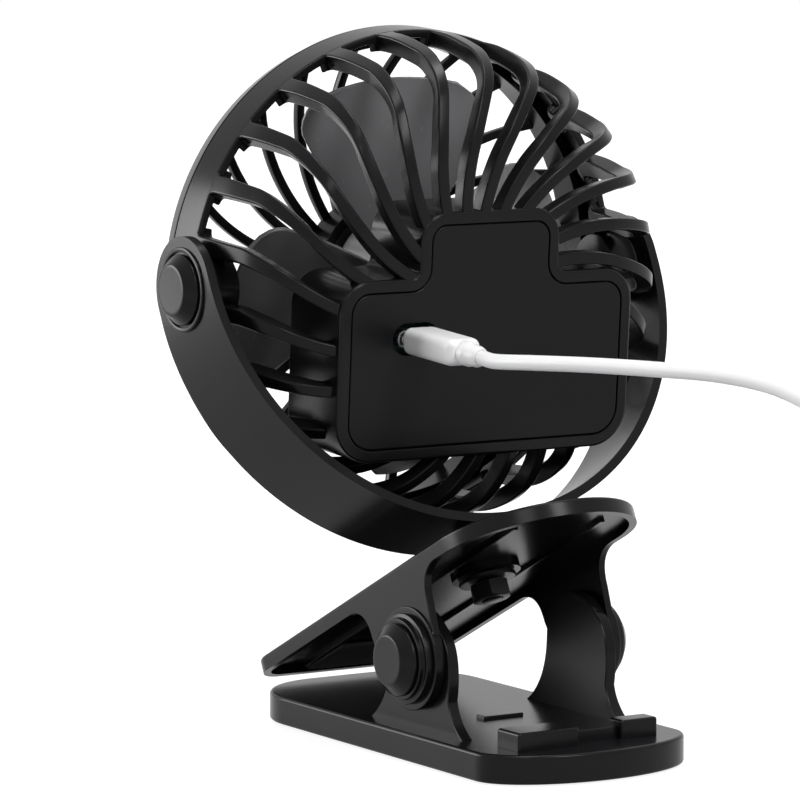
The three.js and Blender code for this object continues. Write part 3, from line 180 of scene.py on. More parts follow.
def noise_group():
    """Colour, roughness and height that wander slightly over a moulded or extruded surface."""
    group = bpy.data.node_groups.new("surface_wander", "ShaderNodeTree")
    face = group.interface
    for label, way, kind in (
        ("Vector", "INPUT", "Vector"), ("Colour", "INPUT", "Color"), ("Worn Colour", "INPUT", "Color"),
        ("Roughness", "INPUT", "Float"), ("Spread", "INPUT", "Float"), ("Grain Scale", "INPUT", "Float"),
        ("Colour", "OUTPUT", "Color"), ("Roughness", "OUTPUT", "Float"), ("Height", "OUTPUT", "Float"),
    ):
        face.new_socket(label, in_out=way, socket_type="NodeSocket" + kind)
    add = group.nodes.new
    link = group.links.new
    given = add("NodeGroupInput")
    gives = add("NodeGroupOutput")
    broad = add("ShaderNodeTexNoise")
    broad.inputs["Scale"].default_value = 28
    broad.inputs["Detail"].default_value = 3
    fine = add("ShaderNodeTexNoise")
    fine.inputs["Detail"].default_value = 2
    scratch = add("ShaderNodeTexNoise")
    scratch.inputs["Detail"].default_value = 4
    stretch = add("ShaderNodeMapping")
    stretch.inputs["Scale"].default_value = (900, 120, 260)
    link(given.outputs["Vector"], broad.inputs["Vector"])
    link(given.outputs["Vector"], fine.inputs["Vector"])
    link(given.outputs["Grain Scale"], fine.inputs["Scale"])
    link(given.outputs["Vector"], stretch.inputs["Vector"])
    link(stretch.outputs[0], scratch.inputs["Vector"])
    scratch.inputs["Scale"].default_value = 1
    mask = add("ShaderNodeMapRange")
    mask.inputs["From Min"].default_value = 0.42
    mask.inputs["From Max"].default_value = 0.72
    link(broad.outputs["Fac"], mask.inputs["Value"])
    blend = add("ShaderNodeMix")
    blend.data_type = "RGBA"
    link(mask.outputs[0], blend.inputs["Factor"])
    link(given.outputs["Colour"], blend.inputs["A"])
    link(given.outputs["Worn Colour"], blend.inputs["B"])
    link(blend.outputs["Result"], gives.inputs["Colour"])
    centre = add("ShaderNodeMath")
    centre.operation = "SUBTRACT"
    centre.inputs[1].default_value = 0.5
    link(scratch.outputs["Fac"], centre.inputs[0])
    spread = add("ShaderNodeMath")
    spread.operation = "MULTIPLY_ADD"
    link(centre.outputs[0], spread.inputs[0])
    link(given.outputs["Spread"], spread.inputs[1])
    link(given.outputs["Roughness"], spread.inputs[2])
    link(spread.outputs[0], gives.inputs["Roughness"])
    link(fine.outputs["Fac"], gives.inputs["Height"])
    return group


wander = noise_group()


def finish_of(name, colour, worn, roughness, spread=0.12, grain=2600, relief=0.03, metal=0.0, **sockets):
    """A material whose colour, roughness and relief come from the wandering surface group."""
    made = bpy.data.materials.new(name)
    made.use_nodes = True
    nodes, links = made.node_tree.nodes, made.node_tree.links
    shader = nodes["Principled BSDF"]
    place = nodes.new("ShaderNodeTexCoord")
    group = nodes.new("ShaderNodeGroup")
    group.node_tree = wander
    group.inputs["Colour"].default_value = (*colour, 1)
    group.inputs["Worn Colour"].default_value = (*worn, 1)
    group.inputs["Roughness"].default_value = roughness
    group.inputs["Spread"].default_value = spread
    group.inputs["Grain Scale"].default_value = grain
    links.new(place.outputs["Object"], group.inputs["Vector"])
    links.new(group.outputs["Colour"], shader.inputs["Base Color"])
    links.new(group.outputs["Roughness"], shader.inputs["Roughness"])
    bump = nodes.new("ShaderNodeBump")
    bump.inputs["Strength"].default_value = 1.0
    bump.inputs["Distance"].default_value = relief * MM
    links.new(group.outputs["Height"], bump.inputs["Height"])
    links.new(bump.outputs["Normal"], shader.inputs["Normal"])
    shader.inputs["Metallic"].default_value = metal
    for socket, value in sockets.items():
        shader.inputs[socket.replace("_", " ")].default_value = value
    return made


jacket = finish_of("cord_jacket", (0.95, 0.95, 0.955), (0.92, 0.92, 0.93), 0.42, grain=1800, relief=0.02)

lead_route = [
    head_point(PORT_X, 67.4, PORT_Z),
    head_point(PORT_X, 73.1, PORT_Z),
    *[
        Vector(p) * MM
        for p in (
            (19.6, 57, 103.6), (14.6, 76, 104.4), (9.4, 95, 104.8), (4, 115, 104.8), (-0.8, 132, 102.6),
            (-4.4, 146, 96.8), (-7.4, 156, 87), (-9.2, 163, 72), (-10.2, 167, 55), (-10.8, 169.6, 39),
            (-11, 173, 24.5), (-11, 178, 12.6), (-11, 184, 4.8), (-11, 188.6, 2.2), (-11, 191.4, 2),
            (-11, 193.9, 2),
        )
    ],
]

coil_route = [Vector((-11, 194.2, 2)) * MM, Vector((-11, 197.5, 2)) * MM]
for i in range(2 * LAYER_STEPS + 1):
    share = min(i, 2 * LAYER_STEPS - i) / LAYER_STEPS
    radius = COIL_OUTER - (COIL_OUTER - COIL_INNER) * share
    up = min(1, max(0, (i - LAYER_STEPS + 6) / 12))
    turn = 2 * math.pi * i / TURN_STEPS
    x, y = COIL_X + radius * math.cos(turn), COIL_Y + radius * math.sin(turn)
    coil_route.append(Vector((x, y, 2 + 4.4 * up)) * MM)
ahead = coil_route[-1] - coil_route[-2]
ahead.z = 0
ahead.normalize()
last = coil_route[-1].copy()
for far, level in ((5, 5.4), (16, 4.4), (20.8, 4)):
    step = last + ahead * far * MM
    step.z = level * MM
    coil_route.append(step)


def strand(name, route, radius, steps=8):
    """A round strand through points, as a curve with one open smooth spline."""
    data = bpy.data.curves.new(name, "CURVE")
    data.dimensions = "3D"
    data.bevel_depth = radius
    data.bevel_resolution = 5
    data.resolution_u = steps
    data.use_fill_caps = True
    line = data.splines.new("BEZIER")
    line.bezier_points.add(len(route) - 1)
    for i, here in enumerate(route):
        knot = line.bezier_points[i]
        knot.co = here
        before = route[max(i - 1, 0)]
        after = route[min(i + 1, len(route) - 1)]
        along = (after - before).normalized()
        knot.handle_left_type = knot.handle_right_type = "FREE"
        knot.handle_left = here - along * (here - before).length / 3
        knot.handle_right = here + along * (after - here).length / 3
    piece = bpy.data.objects.new(name, data)
    bpy.context.scene.collection.objects.link(piece)
    return piece


def as_mesh(piece):
    take(piece)
    bpy.ops.object.convert(target="MESH")
    return bpy.context.object


def smooth(piece, angle=35):
    take(piece)
    bpy.ops.object.shade_smooth_by_angle(angle=math.radians(angle))


def dress(piece, skin, body=None, nodes=()):
    """Gives a piece its finish and the body it rides on, and hides the CAD nodes it stands for."""
    piece.data.materials.clear()
    piece.data.materials.append(skin)
    if nodes:
        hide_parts(*nodes)
    if body:
        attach(piece, body)


lead = as_mesh(strand("charging_lead", lead_route, CORD / 2))
smooth(lead, 40)
dress(lead, jacket, nodes=["charging_cord"])

coil = strand("lead_coil", coil_route, CORD / 2, steps=3)
dress(coil, jacket, "foot", ["cord_coil"])


# ---------------------------------------------------------------- lead's plugs
# White PVC overmoulds with steel shells: the slim plug sits in the fan's socket, square to its back,
# with a stepped collar; the wide flat plug lies by the coil on the table.
def round_edges(piece, width, segments, angle):
    take(piece)
    bevel = piece.modifiers.new("round", "BEVEL")
    bevel.width = width * MM
    bevel.segments = segments
    bevel.limit_method = "ANGLE"
    bevel.angle_limit = math.radians(angle)
    bevel.miter_outer = "MITER_ARC"
    bpy.ops.object.modifier_apply(modifier="round")


def rounded_block(name, low, high, radius, segments):
    """A block between two corners, with all its edges rounded."""
    deselect()
    low, high = [v * MM for v in low], [v * MM for v in high]
    bpy.ops.mesh.primitive_cube_add(size=1, location=[(a + b) / 2 for a, b in zip(low, high)])
    block = bpy.context.object
    block.name = name
    block.scale = [b - a for a, b in zip(low, high)]
    bpy.ops.object.transform_apply(location=True, rotation=True, scale=True)
    round_edges(block, radius, segments, 30)
    return block


def spun(name, profile, segments=96, axis="Y"):
    """A turned piece: a profile of (radius, height) swept round an axis through the origin."""
    points = [Vector({"X": (h, r, 0), "Y": (r, h, 0), "Z": (r, 0, h)}[axis]) * MM for r, h in profile]
    about = [1 if letter == axis else 0 for letter in "XYZ"]
    data = bpy.data.meshes.new(name)
    data.from_pydata(points, [(i, i + 1) for i in range(len(points) - 1)], [])
    piece = bpy.data.objects.new(name, data)
    bpy.context.scene.collection.objects.link(piece)
    take(piece)
    bpy.ops.object.mode_set(mode="EDIT")
    bpy.ops.mesh.select_all(action="SELECT")
    bpy.ops.mesh.spin(steps=segments, angle=2 * math.pi, center=(0, 0, 0), axis=about)
    bpy.ops.mesh.select_all(action="SELECT")
    bpy.ops.mesh.remove_doubles(threshold=1e-6)
    bpy.ops.mesh.normals_make_consistent(inside=False)
    bpy.ops.object.mode_set(mode="OBJECT")
    return piece


def joined(name, *pieces):
    deselect()
    for piece in pieces:
        piece.select_set(True)
    bpy.context.view_layer.objects.active = pieces[0]
    bpy.ops.object.join()
    whole = bpy.context.object
    whole.name = name
    return whole


def placed(piece, matrix):
    piece.data.transform(matrix)
    piece.data.update()
    return piece


def reskin(skin, *names):
    """Gives CAD pieces that stay as they are their finished surface."""
    for name in names:
        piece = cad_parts[name]
        piece.data.materials.clear()
        piece.data.materials.append(skin)


plug_white = finish_of(
    "plug_white", (0.96, 0.96, 0.965), (0.93, 0.93, 0.94), 0.34, grain=2400, relief=0.015
)
IN_PORT = Matrix.Translation(Vector((PORT_X, 0, PORT_Z)) * MM)
plug_body = rounded_block("plug_body", (-5, 37.6, -3.4), (5, 60.1, 3.4), 2.2, 6)
neck_profile = [
    (0, 59), (3.1, 59), (3.1, 62.2), (2.9, 62.7), (2.7, 63), (2.7, 65.6), (2.4, 66.6), (2.1, 67.1),
    (0, 67.1),
]
fan_plug = joined("fan_plug", plug_body, spun("plug_neck", neck_profile, 48))
placed(fan_plug, HEAD @ IN_PORT)
smooth(fan_plug, 35)
dress(fan_plug, plug_white, "head", ["usb_plug"])

far_at = coil_route[-1].copy()
far_at.z = 4 * MM
far_turn = math.atan2(ahead.y, ahead.x) - math.pi / 2
far_grip = rounded_block("far_grip", (-7.6, 0.3, -3.9), (7.6, 26.3, 3.9), 1.8, 5)
placed(far_grip, Matrix.Translation(far_at) @ Matrix.Rotation(far_turn, 4, "Z"))
smooth(far_grip, 35)
dress(far_grip, plug_white, "foot", ["usb_a_grip"])

steel = finish_of(
    "bright_steel", (0.62, 0.63, 0.65), (0.5, 0.51, 0.54), 0.28, metal=1.0, grain=4000, relief=0.004
)
reskin(steel, "usb_a_shell", "plug_tongue")

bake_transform(lead)


# ---------------------------------------------------------------- clip's foot
# The lower jaw of the clip, moulded in black ABS with two upright ears that carry the hinge.
# Low blocks behind the ears stop the handle, and a thin rubber sheet is glued in a recess below.
HINGE = (14.5, 25.6)
FOOT_HALF_WIDTH, FOOT_FRONT, FOOT_CORNER, FOOT_TOP = 30.5, -65.5, 22, 7.4
FOOT_TAIL, FOOT_TAIL_DEPTH = 48.9, 16.6
EAR_RADIUS, EAR_INNER, EAR_OUTER = 12.8, 22.6, 25.1
BEAD_WIDTH = 1.5
SHELL_GLOSS = 0.12

black_shell = finish_of(
    "black_shell", (0.006, 0.006, 0.007), (0.009, 0.009, 0.01), 0.23, 0.03, 1700, 0.0015,
    Specular_IOR_Level=SHELL_GLOSS,
)
rubber = finish_of("rubber", (0.011, 0.011, 0.012), (0.017, 0.017, 0.018), 0.72, 0.2, 900, 0.09)


def arc(x, y, radius, start, end, steps=8, tall=None):
    """Points on part of a circle, or of an ellipse where its height differs."""
    high = radius if tall is None else tall
    turns = [math.radians(start + (end - start) * i / steps) for i in range(steps + 1)]
    return [(x + radius * math.cos(t), y + high * math.sin(t)) for t in turns]


def bow(first, pull, last, steps=10):
    """Points on a curve between two ends, drawn towards a third point."""
    shares = [i / steps for i in range(steps + 1)]
    return [
        tuple((1 - s) ** 2 * a + 2 * s * (1 - s) * b + s * s * c for a, b, c in zip(first, pull, last))
        for s in shares
    ]


def plate(name, outline, axis, low, high):
    """A filled outline, extruded along one axis."""
    deselect()
    corners = [p for i, p in enumerate(outline) if (Vector(p) - Vector(outline[i - 1])).length > 1e-3]
    bpy.ops.mesh.primitive_circle_add(vertices=len(corners), fill_type="NGON")
    piece = bpy.context.object
    piece.name = name
    for vertex, (a, b) in zip(piece.data.vertices, corners):
        vertex.co = Vector({"X": (low, a, b), "Y": (a, low, b), "Z": (a, b, low)}[axis]) * MM
    bpy.ops.object.mode_set(mode="EDIT")
    bpy.ops.mesh.select_all(action="SELECT")
    rise = [(high - low) * MM if letter == axis else 0 for letter in "XYZ"]
    bpy.ops.mesh.extrude_region_move(TRANSFORM_OT_translate={"value": rise})
    bpy.ops.mesh.select_all(action="SELECT")
    bpy.ops.mesh.normals_make_consistent(inside=False)
    bpy.ops.object.mode_set(mode="OBJECT")
    return piece


def bevel_edges(piece, test, width, segments=3):
    """Rounds the sharp edges whose two ends both pass a test of their place."""
    take(piece)
    bpy.ops.object.mode_set(mode="EDIT")
    bpy.ops.mesh.select_mode(type="EDGE")
    bpy.ops.mesh.select_all(action="DESELECT")
    mesh = bmesh.from_edit_mesh(piece.data)
    for edge in mesh.edges:
        if len(edge.link_faces) == 2 and edge.calc_face_angle(0) > 0.7:
            if all(test(v.co / MM) for v in edge.verts):
                edge.select_set(True)
    bmesh.update_edit_mesh(piece.data)
    bpy.ops.mesh.bevel(offset=width * MM, segments=segments, affect="EDGES", clamp_overlap=True)
    bpy.ops.object.mode_set(mode="OBJECT")
    return piece


def shaped_by(piece, tool, operation="UNION"):
    """Joins a second piece to the first, or cuts with it, and removes the second."""
    take(piece)
    step = piece.modifiers.new("shape", "BOOLEAN")
    step.operation = operation
    step.object = tool
    step.solver = "EXACT"
    bpy.ops.object.modifier_apply(modifier="shape")
    bpy.data.objects.remove(tool)
    return piece


def mirrored(piece):
    """A copy on the other side of the middle, with its own mesh."""
    other = bpy.data.objects.new(piece.name + "_other", piece.data.copy())
    bpy.context.scene.collection.objects.link(other)
    other.data.transform(Matrix.Diagonal((-1, 1, 1, 1)))
    other.data.flip_normals()
    return other


def finished(piece, angle=38):
    """Smooth shading that leaves wide flat faces flat."""
    take(piece)
    bpy.ops.object.mode_set(mode="EDIT")
    bpy.ops.mesh.select_all(action="SELECT")
    bpy.ops.mesh.remove_doubles(threshold=1e-6)
    bpy.ops.object.mode_set(mode="OBJECT")
    bpy.ops.object.shade_smooth_by_angle(angle=math.radians(angle))
    even = piece.modifiers.new("even", "WEIGHTED_NORMAL")
    even.keep_sharp = True
    bpy.ops.object.modifier_apply(modifier="even")
    return piece


def foot_outline(inset):
    """The foot from above: two round front corners and a shallow round tail."""
    w, front, r = FOOT_HALF_WIDTH - inset, FOOT_FRONT + inset, FOOT_CORNER - inset
    return [
        *arc(w - r, front + r, r, -90, 0, 16),
        *arc(0, FOOT_TAIL, w, 0, 180, 44, FOOT_TAIL_DEPTH - inset),
        *arc(-w + r, front + r, r, 180, 270, 16),
    ]


foot = plate("clip_foot", foot_outline(0), "Z", 0, FOOT_TOP)
bevel_edges(foot, lambda p: p.z > FOOT_TOP - 0.1, 0.9, 4)
bevel_edges(foot, lambda p: p.z < 0.1, 0.7)
shaped_by(foot, plate("pad_recess", foot_outline(3), "Z", -1, 1.3), "DIFFERENCE")

ear_front = bow((-22.8, -18.8), (-13, -12.8), (-EAR_RADIUS, 0), 12)
ear_back = [
    *bow((9.05, 9.05), (16.8, 4.27), (14.3, -9.47), 12),
    *bow((14.3, -9.47), (15.5, -14.8), (22, -18.8), 10),
]
ear_line = [*ear_front, *arc(0, 0, EAR_RADIUS, 180, 45, 30), *ear_back]
ear_outline = [(y + HINGE[0], z + HINGE[1]) for y, z in ear_line]
ear = bevel_edges(plate("ear", ear_outline, "X", EAR_INNER, EAR_OUTER), lambda p: p.z > 7, 0.4, 2)
bead_line = [*arc(0, 0, EAR_RADIUS, 95, 45, 10), *ear_back[1:]]
bead_inner = []
for i, here in enumerate(bead_line):
    before, after = bead_line[max(i - 1, 0)], bead_line[min(i + 1, len(bead_line) - 1)]
    along = (Vector(after) - Vector(before)).normalized()
    bead_inner.append((here[0] + BEAD_WIDTH * along.y, here[1] - BEAD_WIDTH * along.x))
bead_outline = [(y + HINGE[0], z + HINGE[1]) for y, z in [*bead_line, *reversed(bead_inner)]]
ear_bead = bevel_edges(plate("ear_bead", bead_outline, "X", 22.2, 25.35), lambda p: True, 0.3, 2)
shaped_by(ear, ear_bead)
pin_seat = spun("pin_seat", [(0, 23.2), (2.8, 23.2), (2.8, 26), (0, 26)], 32, "X")
shaped_by(ear, placed(pin_seat, Matrix.Translation(Vector((0, *HINGE)) * MM)), "DIFFERENCE")
shaped_by(foot, mirrored(ear))
shaped_by(foot, ear)
for low, high, radius in (
    ((4, 46, 6.8), (22, 56, 12.1), 0.7),
    ((-21, 48, 6.8), (-10, 54, 12.1), 0.7),
    ((-12, 50, 6.8), (6, 52, 10.4), 0.5),
    ((-8, 9, 6.8), (4, 13, 8.2), 0.3),
):
    shaped_by(foot, rounded_block("stop", low, high, radius, 3))
finished(foot)
dress(foot, black_shell, "foot", ["base_plate"])

foot_pad = bevel_edges(plate("foot_pad", foot_outline(3.3), "Z", 0, 1), lambda p: True, 0.25, 2)
finished(foot_pad)
dress(foot_pad, rubber, "foot", ["base_pad"])


# ---------------------------------------------------------------- upper jaw
# The upper jaw is one black ABS moulding: a skin with a deep rim, two cheeks that reach down outside
# the ears, round knuckles for the springs, and three grip ridges across the handle.
JAW_TILT = 25.8
JAW = Matrix.Translation(Vector((0, *HINGE)) * MM) @ Matrix.Rotation(math.radians(JAW_TILT), 4, "X")
JAW_HALF_WIDTH, JAW_TIP, JAW_CORNER, JAW_UNDER, JAW_TOP = 27.4, -77.5, 8.3, 19, 23.1
HANDLE_START, HANDLE_DEPTH = 25.5, 25.4
RIM_WIDTH, SKIN_UNDER = 2, 20.7
KNUCKLE_RADIUS = 13.2
STEM_PLACE = 1.65


def jaw_outline(inset):
    """The jaw from above: a square tip with round corners and a half-round handle."""
    w, tip, r = JAW_HALF_WIDTH - inset, JAW_TIP + inset, JAW_CORNER - inset
    return [
        *arc(w - r, tip + r, r, -90, 0, 12),
        *arc(0, HANDLE_START, w, 0, 180, 52, HANDLE_DEPTH - inset),
        *arc(-w + r, tip + r, r, 180, 270, 12),
    ]


jaw = plate("clip_jaw", jaw_outline(0), "Z", JAW_UNDER, JAW_TOP)
bevel_edges(jaw, lambda p: p.z > JAW_TOP - 0.1, 0.8, 4)
shaped_by(jaw, plate("jaw_hollow", jaw_outline(RIM_WIDTH), "Z", 18, SKIN_UNDER), "DIFFERENCE")

cheek_outline = [
    (-24.2, 19.6),
    *bow((-24.2, 19), (-15.2, 19), (-15.2, 10), 14),
    *arc(0, 0, KNUCKLE_RADIUS, 180, 336, 34),
    *bow((13.9, 10), (13.9, 19), (22.9, 19), 14),
    (22.9, 19.6),
]
knuckle_profile = [
    (8.85, 25.4), (KNUCKLE_RADIUS, 25.4), (KNUCKLE_RADIUS, 27.7), (13.1, 27.9), (12.9, 28), (11.6, 28),
    (11.55, 29.2), (11.4, 29.5), (11.1, 29.6), (10.6, 29.6), (10.4, 29.7), (10.3, 29.9), (10.3, 30.7),
    (10.2, 30.9), (10, 31), (2.8, 31), (2.8, 29.4), (8.85, 29.4), (8.85, 25.4),
]
cheek = bevel_edges(plate("cheek", cheek_outline, "X", 25.4, 27.4), lambda p: p.x > 27.3, 0.45, 3)
shaped_by(cheek, spun("spring_room", [(0, 24), (11, 24), (11, 29), (0, 29)], 64, "X"), "DIFFERENCE")
shaped_by(cheek, spun("knuckle", knuckle_profile, 96, "X"))
shaped_by(jaw, mirrored(cheek))
shaped_by(jaw, cheek)
for y in (35, 40, 45):
    shaped_by(jaw, rounded_block("ridge", (-9, y - 0.8, 22.4), (9, y + 0.8, 23.9), 0.6, 4))
for x in (-13, 13):
    shaped_by(jaw, rounded_block("web", (x - 0.8, -73.5, 19.7), (x + 0.8, 38.9, 21.3), 0.2, 2))
stem_seat = Matrix.Translation(Vector((0, STEM_PLACE, 0)) * MM)
shaped_by(jaw, placed(spun("stem_boss", [(0, 19), (9, 19), (9, 22.5), (0, 22.5)], 64, "Z"), stem_seat))
stem_hole = placed(spun("stem_hole", [(0, 17), (2.9, 17), (2.9, 25), (0, 25)], 48, "Z"), stem_seat)
shaped_by(jaw, stem_hole, "DIFFERENCE")
finished(placed(jaw, JAW))
dress(jaw, black_shell, "jaw", ["upper_jaw"])

jaw_pad = rounded_block("tip_pad", (-11.8, -75.2, 19.2), (11.8, -55.2, 20.4), 0.4, 3)
finished(placed(jaw_pad, JAW))
dress(jaw_pad, rubber, "jaw", ["jaw_pad"])


# ---------------------------------------------------------------- hinge
# Cone-shaped caps of the same black plastic close the knuckles over the steel pins.
# The pins and the torsion springs stay inside, out of sight.
cap_profile = [
    (0, 34.35), (5.6, 34.38), (6.15, 34.4), (6.45, 34.3), (6.65, 34.1), (9.05, 32.15), (9.25, 31.9),
    (9.3, 31.6), (9.3, 31.3), (2.8, 31.3), (2.8, 33.15), (0, 33.15),
]
hinge_cap = placed(spun("hinge_cap_right", cap_profile, 96, "X"), JAW)
hinge_cap_left = mirrored(hinge_cap)
hinge_cap_left.name = "hinge_cap_left"
for piece, node in ((hinge_cap, "hinge_cap_near"), (hinge_cap_left, "hinge_cap_far")):
    finished(piece)
    dress(piece, black_shell, "jaw", [node])


spring_steel = finish_of(
    "spring_steel", (0.3, 0.3, 0.32), (0.2, 0.19, 0.19), 0.32, metal=1.0, grain=5000, relief=0.004
)
reskin(spring_steel, "clip_spring_near", "clip_spring_far", "hinge_pin_near", "hinge_pin_far")


# ---------------------------------------------------------------- yoke and swivel
# A bent black ABS band holds the head between two arms with round ends and a raised ring on each.
# Its foot turns on a blackened machine screw through the jaw, with a washer and a nut below.
YOKE = Matrix.Translation(PIVOT) @ Matrix.Rotation(math.radians(JAW_TILT), 4, "X")
BOW_OUTER, BOW_INNER, BOW_DROP, ARM_HALF = 68.5, 66.1, -3.3, 13.5
STEM_RADIUS, THREAD_TURNS, THREAD_PITCH, THREAD_TOP = 2.6, 18, 0.45, -80

bow_outline = [
    (BOW_OUTER, ARM_HALF), *arc(0, BOW_DROP, BOW_OUTER, 0, -180, 150), (-BOW_OUTER, ARM_HALF),
    (-BOW_INNER, ARM_HALF), *arc(0, BOW_DROP, BOW_INNER, -180, 0, 150), (BOW_INNER, ARM_HALF),
]
yoke = plate("yoke_bow", bow_outline, "Y", -ARM_HALF, ARM_HALF)
arm_side = [(-ARM_HALF, -80), (ARM_HALF, -80), *arc(0, 0, ARM_HALF, 0, 180, 48)]
shaped_by(yoke, plate("arm_side", arm_side, "X", -75, 75), "INTERSECT")
bevel_edges(yoke, lambda p: abs(p.y) > ARM_HALF - 0.1 or p.z > 0.05, 0.55, 3)
foot_profile = [
    (0, -77.65), (6.1, -77.65), (6.4, -77.5), (6.5, -77.2), (6.5, -73.4), (6.9, -72.6), (7.7, -72),
    (8.6, -71.7), (8.6, -70.8), (0, -70.8),
]
shaped_by(yoke, spun("yoke_foot", foot_profile, 64, "Z"))
ring_bead = [
    (9.6, 67.9), (10.8, 67.9), (10.8, 68.8), (10.7, 69), (10.45, 69.1), (9.95, 69.1), (9.7, 69),
    (9.6, 68.8), (9.6, 67.9),
]
bead = spun("arm_bead", ring_bead, 96, "X")
shaped_by(yoke, mirrored(bead))
shaped_by(yoke, bead)
shaped_by(yoke, spun("stem_bore", [(0, -79), (2.9, -79), (2.9, -66), (0, -66)], 48, "Z"), "DIFFERENCE")
shaped_by(yoke, spun("screw_bore", [(0, -71), (1.8, -71), (1.8, 71), (0, 71)], 32, "X"), "DIFFERENCE")
finished(placed(yoke, YOKE))
dress(yoke, black_shell, "yoke", ["yoke"])

arm_cap_profile = [
    (0, 71.95), (5.7, 71.97), (6.35, 72), (6.65, 71.88), (6.85, 71.65), (8.8, 69.65), (8.97, 69.35),
    (9, 69.1), (9, 68.8), (3.8, 68.8), (3.8, 70.5), (0, 70.5),
]
arm_cap = placed(spun("arm_cap_right", arm_cap_profile, 96, "X"), YOKE)
arm_cap_left = mirrored(arm_cap)
arm_cap_left.name = "arm_cap_left"
for piece, node in ((arm_cap, "pivot_cap_near"), (arm_cap_left, "pivot_cap_far")):
    finished(piece)
    dress(piece, black_shell, "yoke", [node])

black_steel = finish_of(
    "blackened_steel", (0.02, 0.02, 0.022), (0.045, 0.043, 0.042), 0.36, metal=0.6, grain=5000, relief=0.01
)
washer_profile = [
    (2.9, -82.35), (7.2, -82.35), (7.5, -82.6), (7.5, -83.3), (7.2, -83.55), (2.9, -83.55), (2.9, -82.35),
]
washer = placed(spun("stem_washer_ring", washer_profile, 64, "Z"), YOKE)
nut = plate("stem_hex_nut", arc(0, 0, 5.4, 0, 300, 5), "Z", -88.45, -83.85)
chamfer_profile = [(0, -88.45), (4.5, -88.45), (5.5, -87.9), (5.5, -84.4), (4.5, -83.85), (0, -83.85)]
shaped_by(nut, spun("nut_chamfer", chamfer_profile, 64, "Z"), "INTERSECT")
shaped_by(nut, spun("nut_thread", [(0, -90), (2.9, -90), (2.9, -83), (0, -83)], 48, "Z"), "DIFFERENCE")
placed(nut, YOKE)
screw_profile = [
    (0, -67.3), (STEM_RADIUS, -67.3), (4.3, -67.45), (4.85, -67.9), (5, -68.4), (5, -69.1),
    (STEM_RADIUS, -69.1), (STEM_RADIUS, THREAD_TOP),
]
for i in range(THREAD_TURNS):
    z = THREAD_TOP - i * THREAD_PITCH
    screw_profile += [(STEM_RADIUS, z - 0.05), (STEM_RADIUS - 0.25, z - 0.22)]
screw_profile += [(2.5, -88.6), (2.2, -88.75), (0, -88.75)]
screw = placed(spun("swivel_machine_screw", screw_profile, 48, "Z"), YOKE)
for piece, node in ((washer, "stem_washer"), (nut, "stem_nut"), (screw, "swivel_screw")):
    finished(piece, 30)
    dress(piece, black_steel, "yoke", [node])
reskin(black_steel, "pivot_screw_near", "pivot_screw_far", "pivot_washer_near", "pivot_washer_far")


# ---------------------------------------------------------------- rear shell
# One black ABS moulding: an outer ring, a cage of 25 swirled ribs with rounded edges that bend over
# the shoulder, and a deep pod in the middle for the battery, its rim round the cover.
RIB_COUNT, RIB_START, RIB_SWIRL = 25, 9.8, 0.62
RIB_HALF, RIB_THINNING, RIB_DEPTH = 2.5, 0.8, 4.4
POD_WALL, PANEL_GAP = 3.5, 0.35
POD_BACK, POD_FRONT = 37, 12.5


def bar_section(half, depth, outer, inner, steps=3):
    """A bar's section as points (across, deep), with rounder outer edges."""
    return [
        *arc(-half + outer, outer, outer, 180, 270, steps),
        *arc(half - outer, outer, outer, 270, 360, steps),
        *arc(half - inner, depth - inner, inner, 0, 90, steps),
        *arc(-half + inner, depth - inner, inner, 90, 180, steps),
    ]


def drawn_bar(name, rings):
    """A bar whose section is extruded from each ring of points to the next."""
    deselect()
    bpy.ops.mesh.primitive_circle_add(vertices=len(rings[0]), fill_type="NGON")
    piece = bpy.context.object
    piece.name = name
    for vertex, place in zip(piece.data.vertices, rings[0]):
        vertex.co = place
    bpy.ops.object.mode_set(mode="EDIT")
    bpy.ops.mesh.select_mode(type="FACE")
    bpy.ops.mesh.select_all(action="SELECT")
    for before, after in zip(rings, rings[1:]):
        bpy.ops.mesh.extrude_region_move()
        mesh = bmesh.from_edit_mesh(piece.data)
        for vertex in [v for v in mesh.verts if v.select]:
            nearest = min(range(len(before)), key=lambda j: (before[j] - vertex.co).length_squared)
            vertex.co = after[nearest]
        bmesh.update_edit_mesh(piece.data)
    bpy.ops.mesh.select_all(action="SELECT")
    bpy.ops.mesh.normals_make_consistent(inside=False)
    bpy.ops.object.mode_set(mode="OBJECT")
    return piece


def turned_copies(piece, count):
    """Copies of a piece spaced evenly round the head's axis, joined in one mesh."""
    copies = [piece]
    for k in range(1, count):
        other = bpy.data.objects.new(piece.name, piece.data.copy())
        bpy.context.scene.collection.objects.link(other)
        other.data.transform(Matrix.Rotation(-2 * math.pi * k / count, 4, "Y"))
        copies.append(other)
    return joined(piece.name, *copies)


def through(points, t):
    """A place on the smooth curve through a row of points, t counting them."""
    i = min(int(t), len(points) - 2)
    s = t - i
    p = [Vector(points[min(max(i + k, 0), len(points) - 1)]) for k in (-1, 0, 1, 2)]
    return 0.5 * (
        2 * p[1] + (p[2] - p[0]) * s + (2 * p[0] - 5 * p[1] + 4 * p[2] - p[3]) * s**2
        + (3 * p[1] - p[0] - 3 * p[2] + p[3]) * s**3
    )


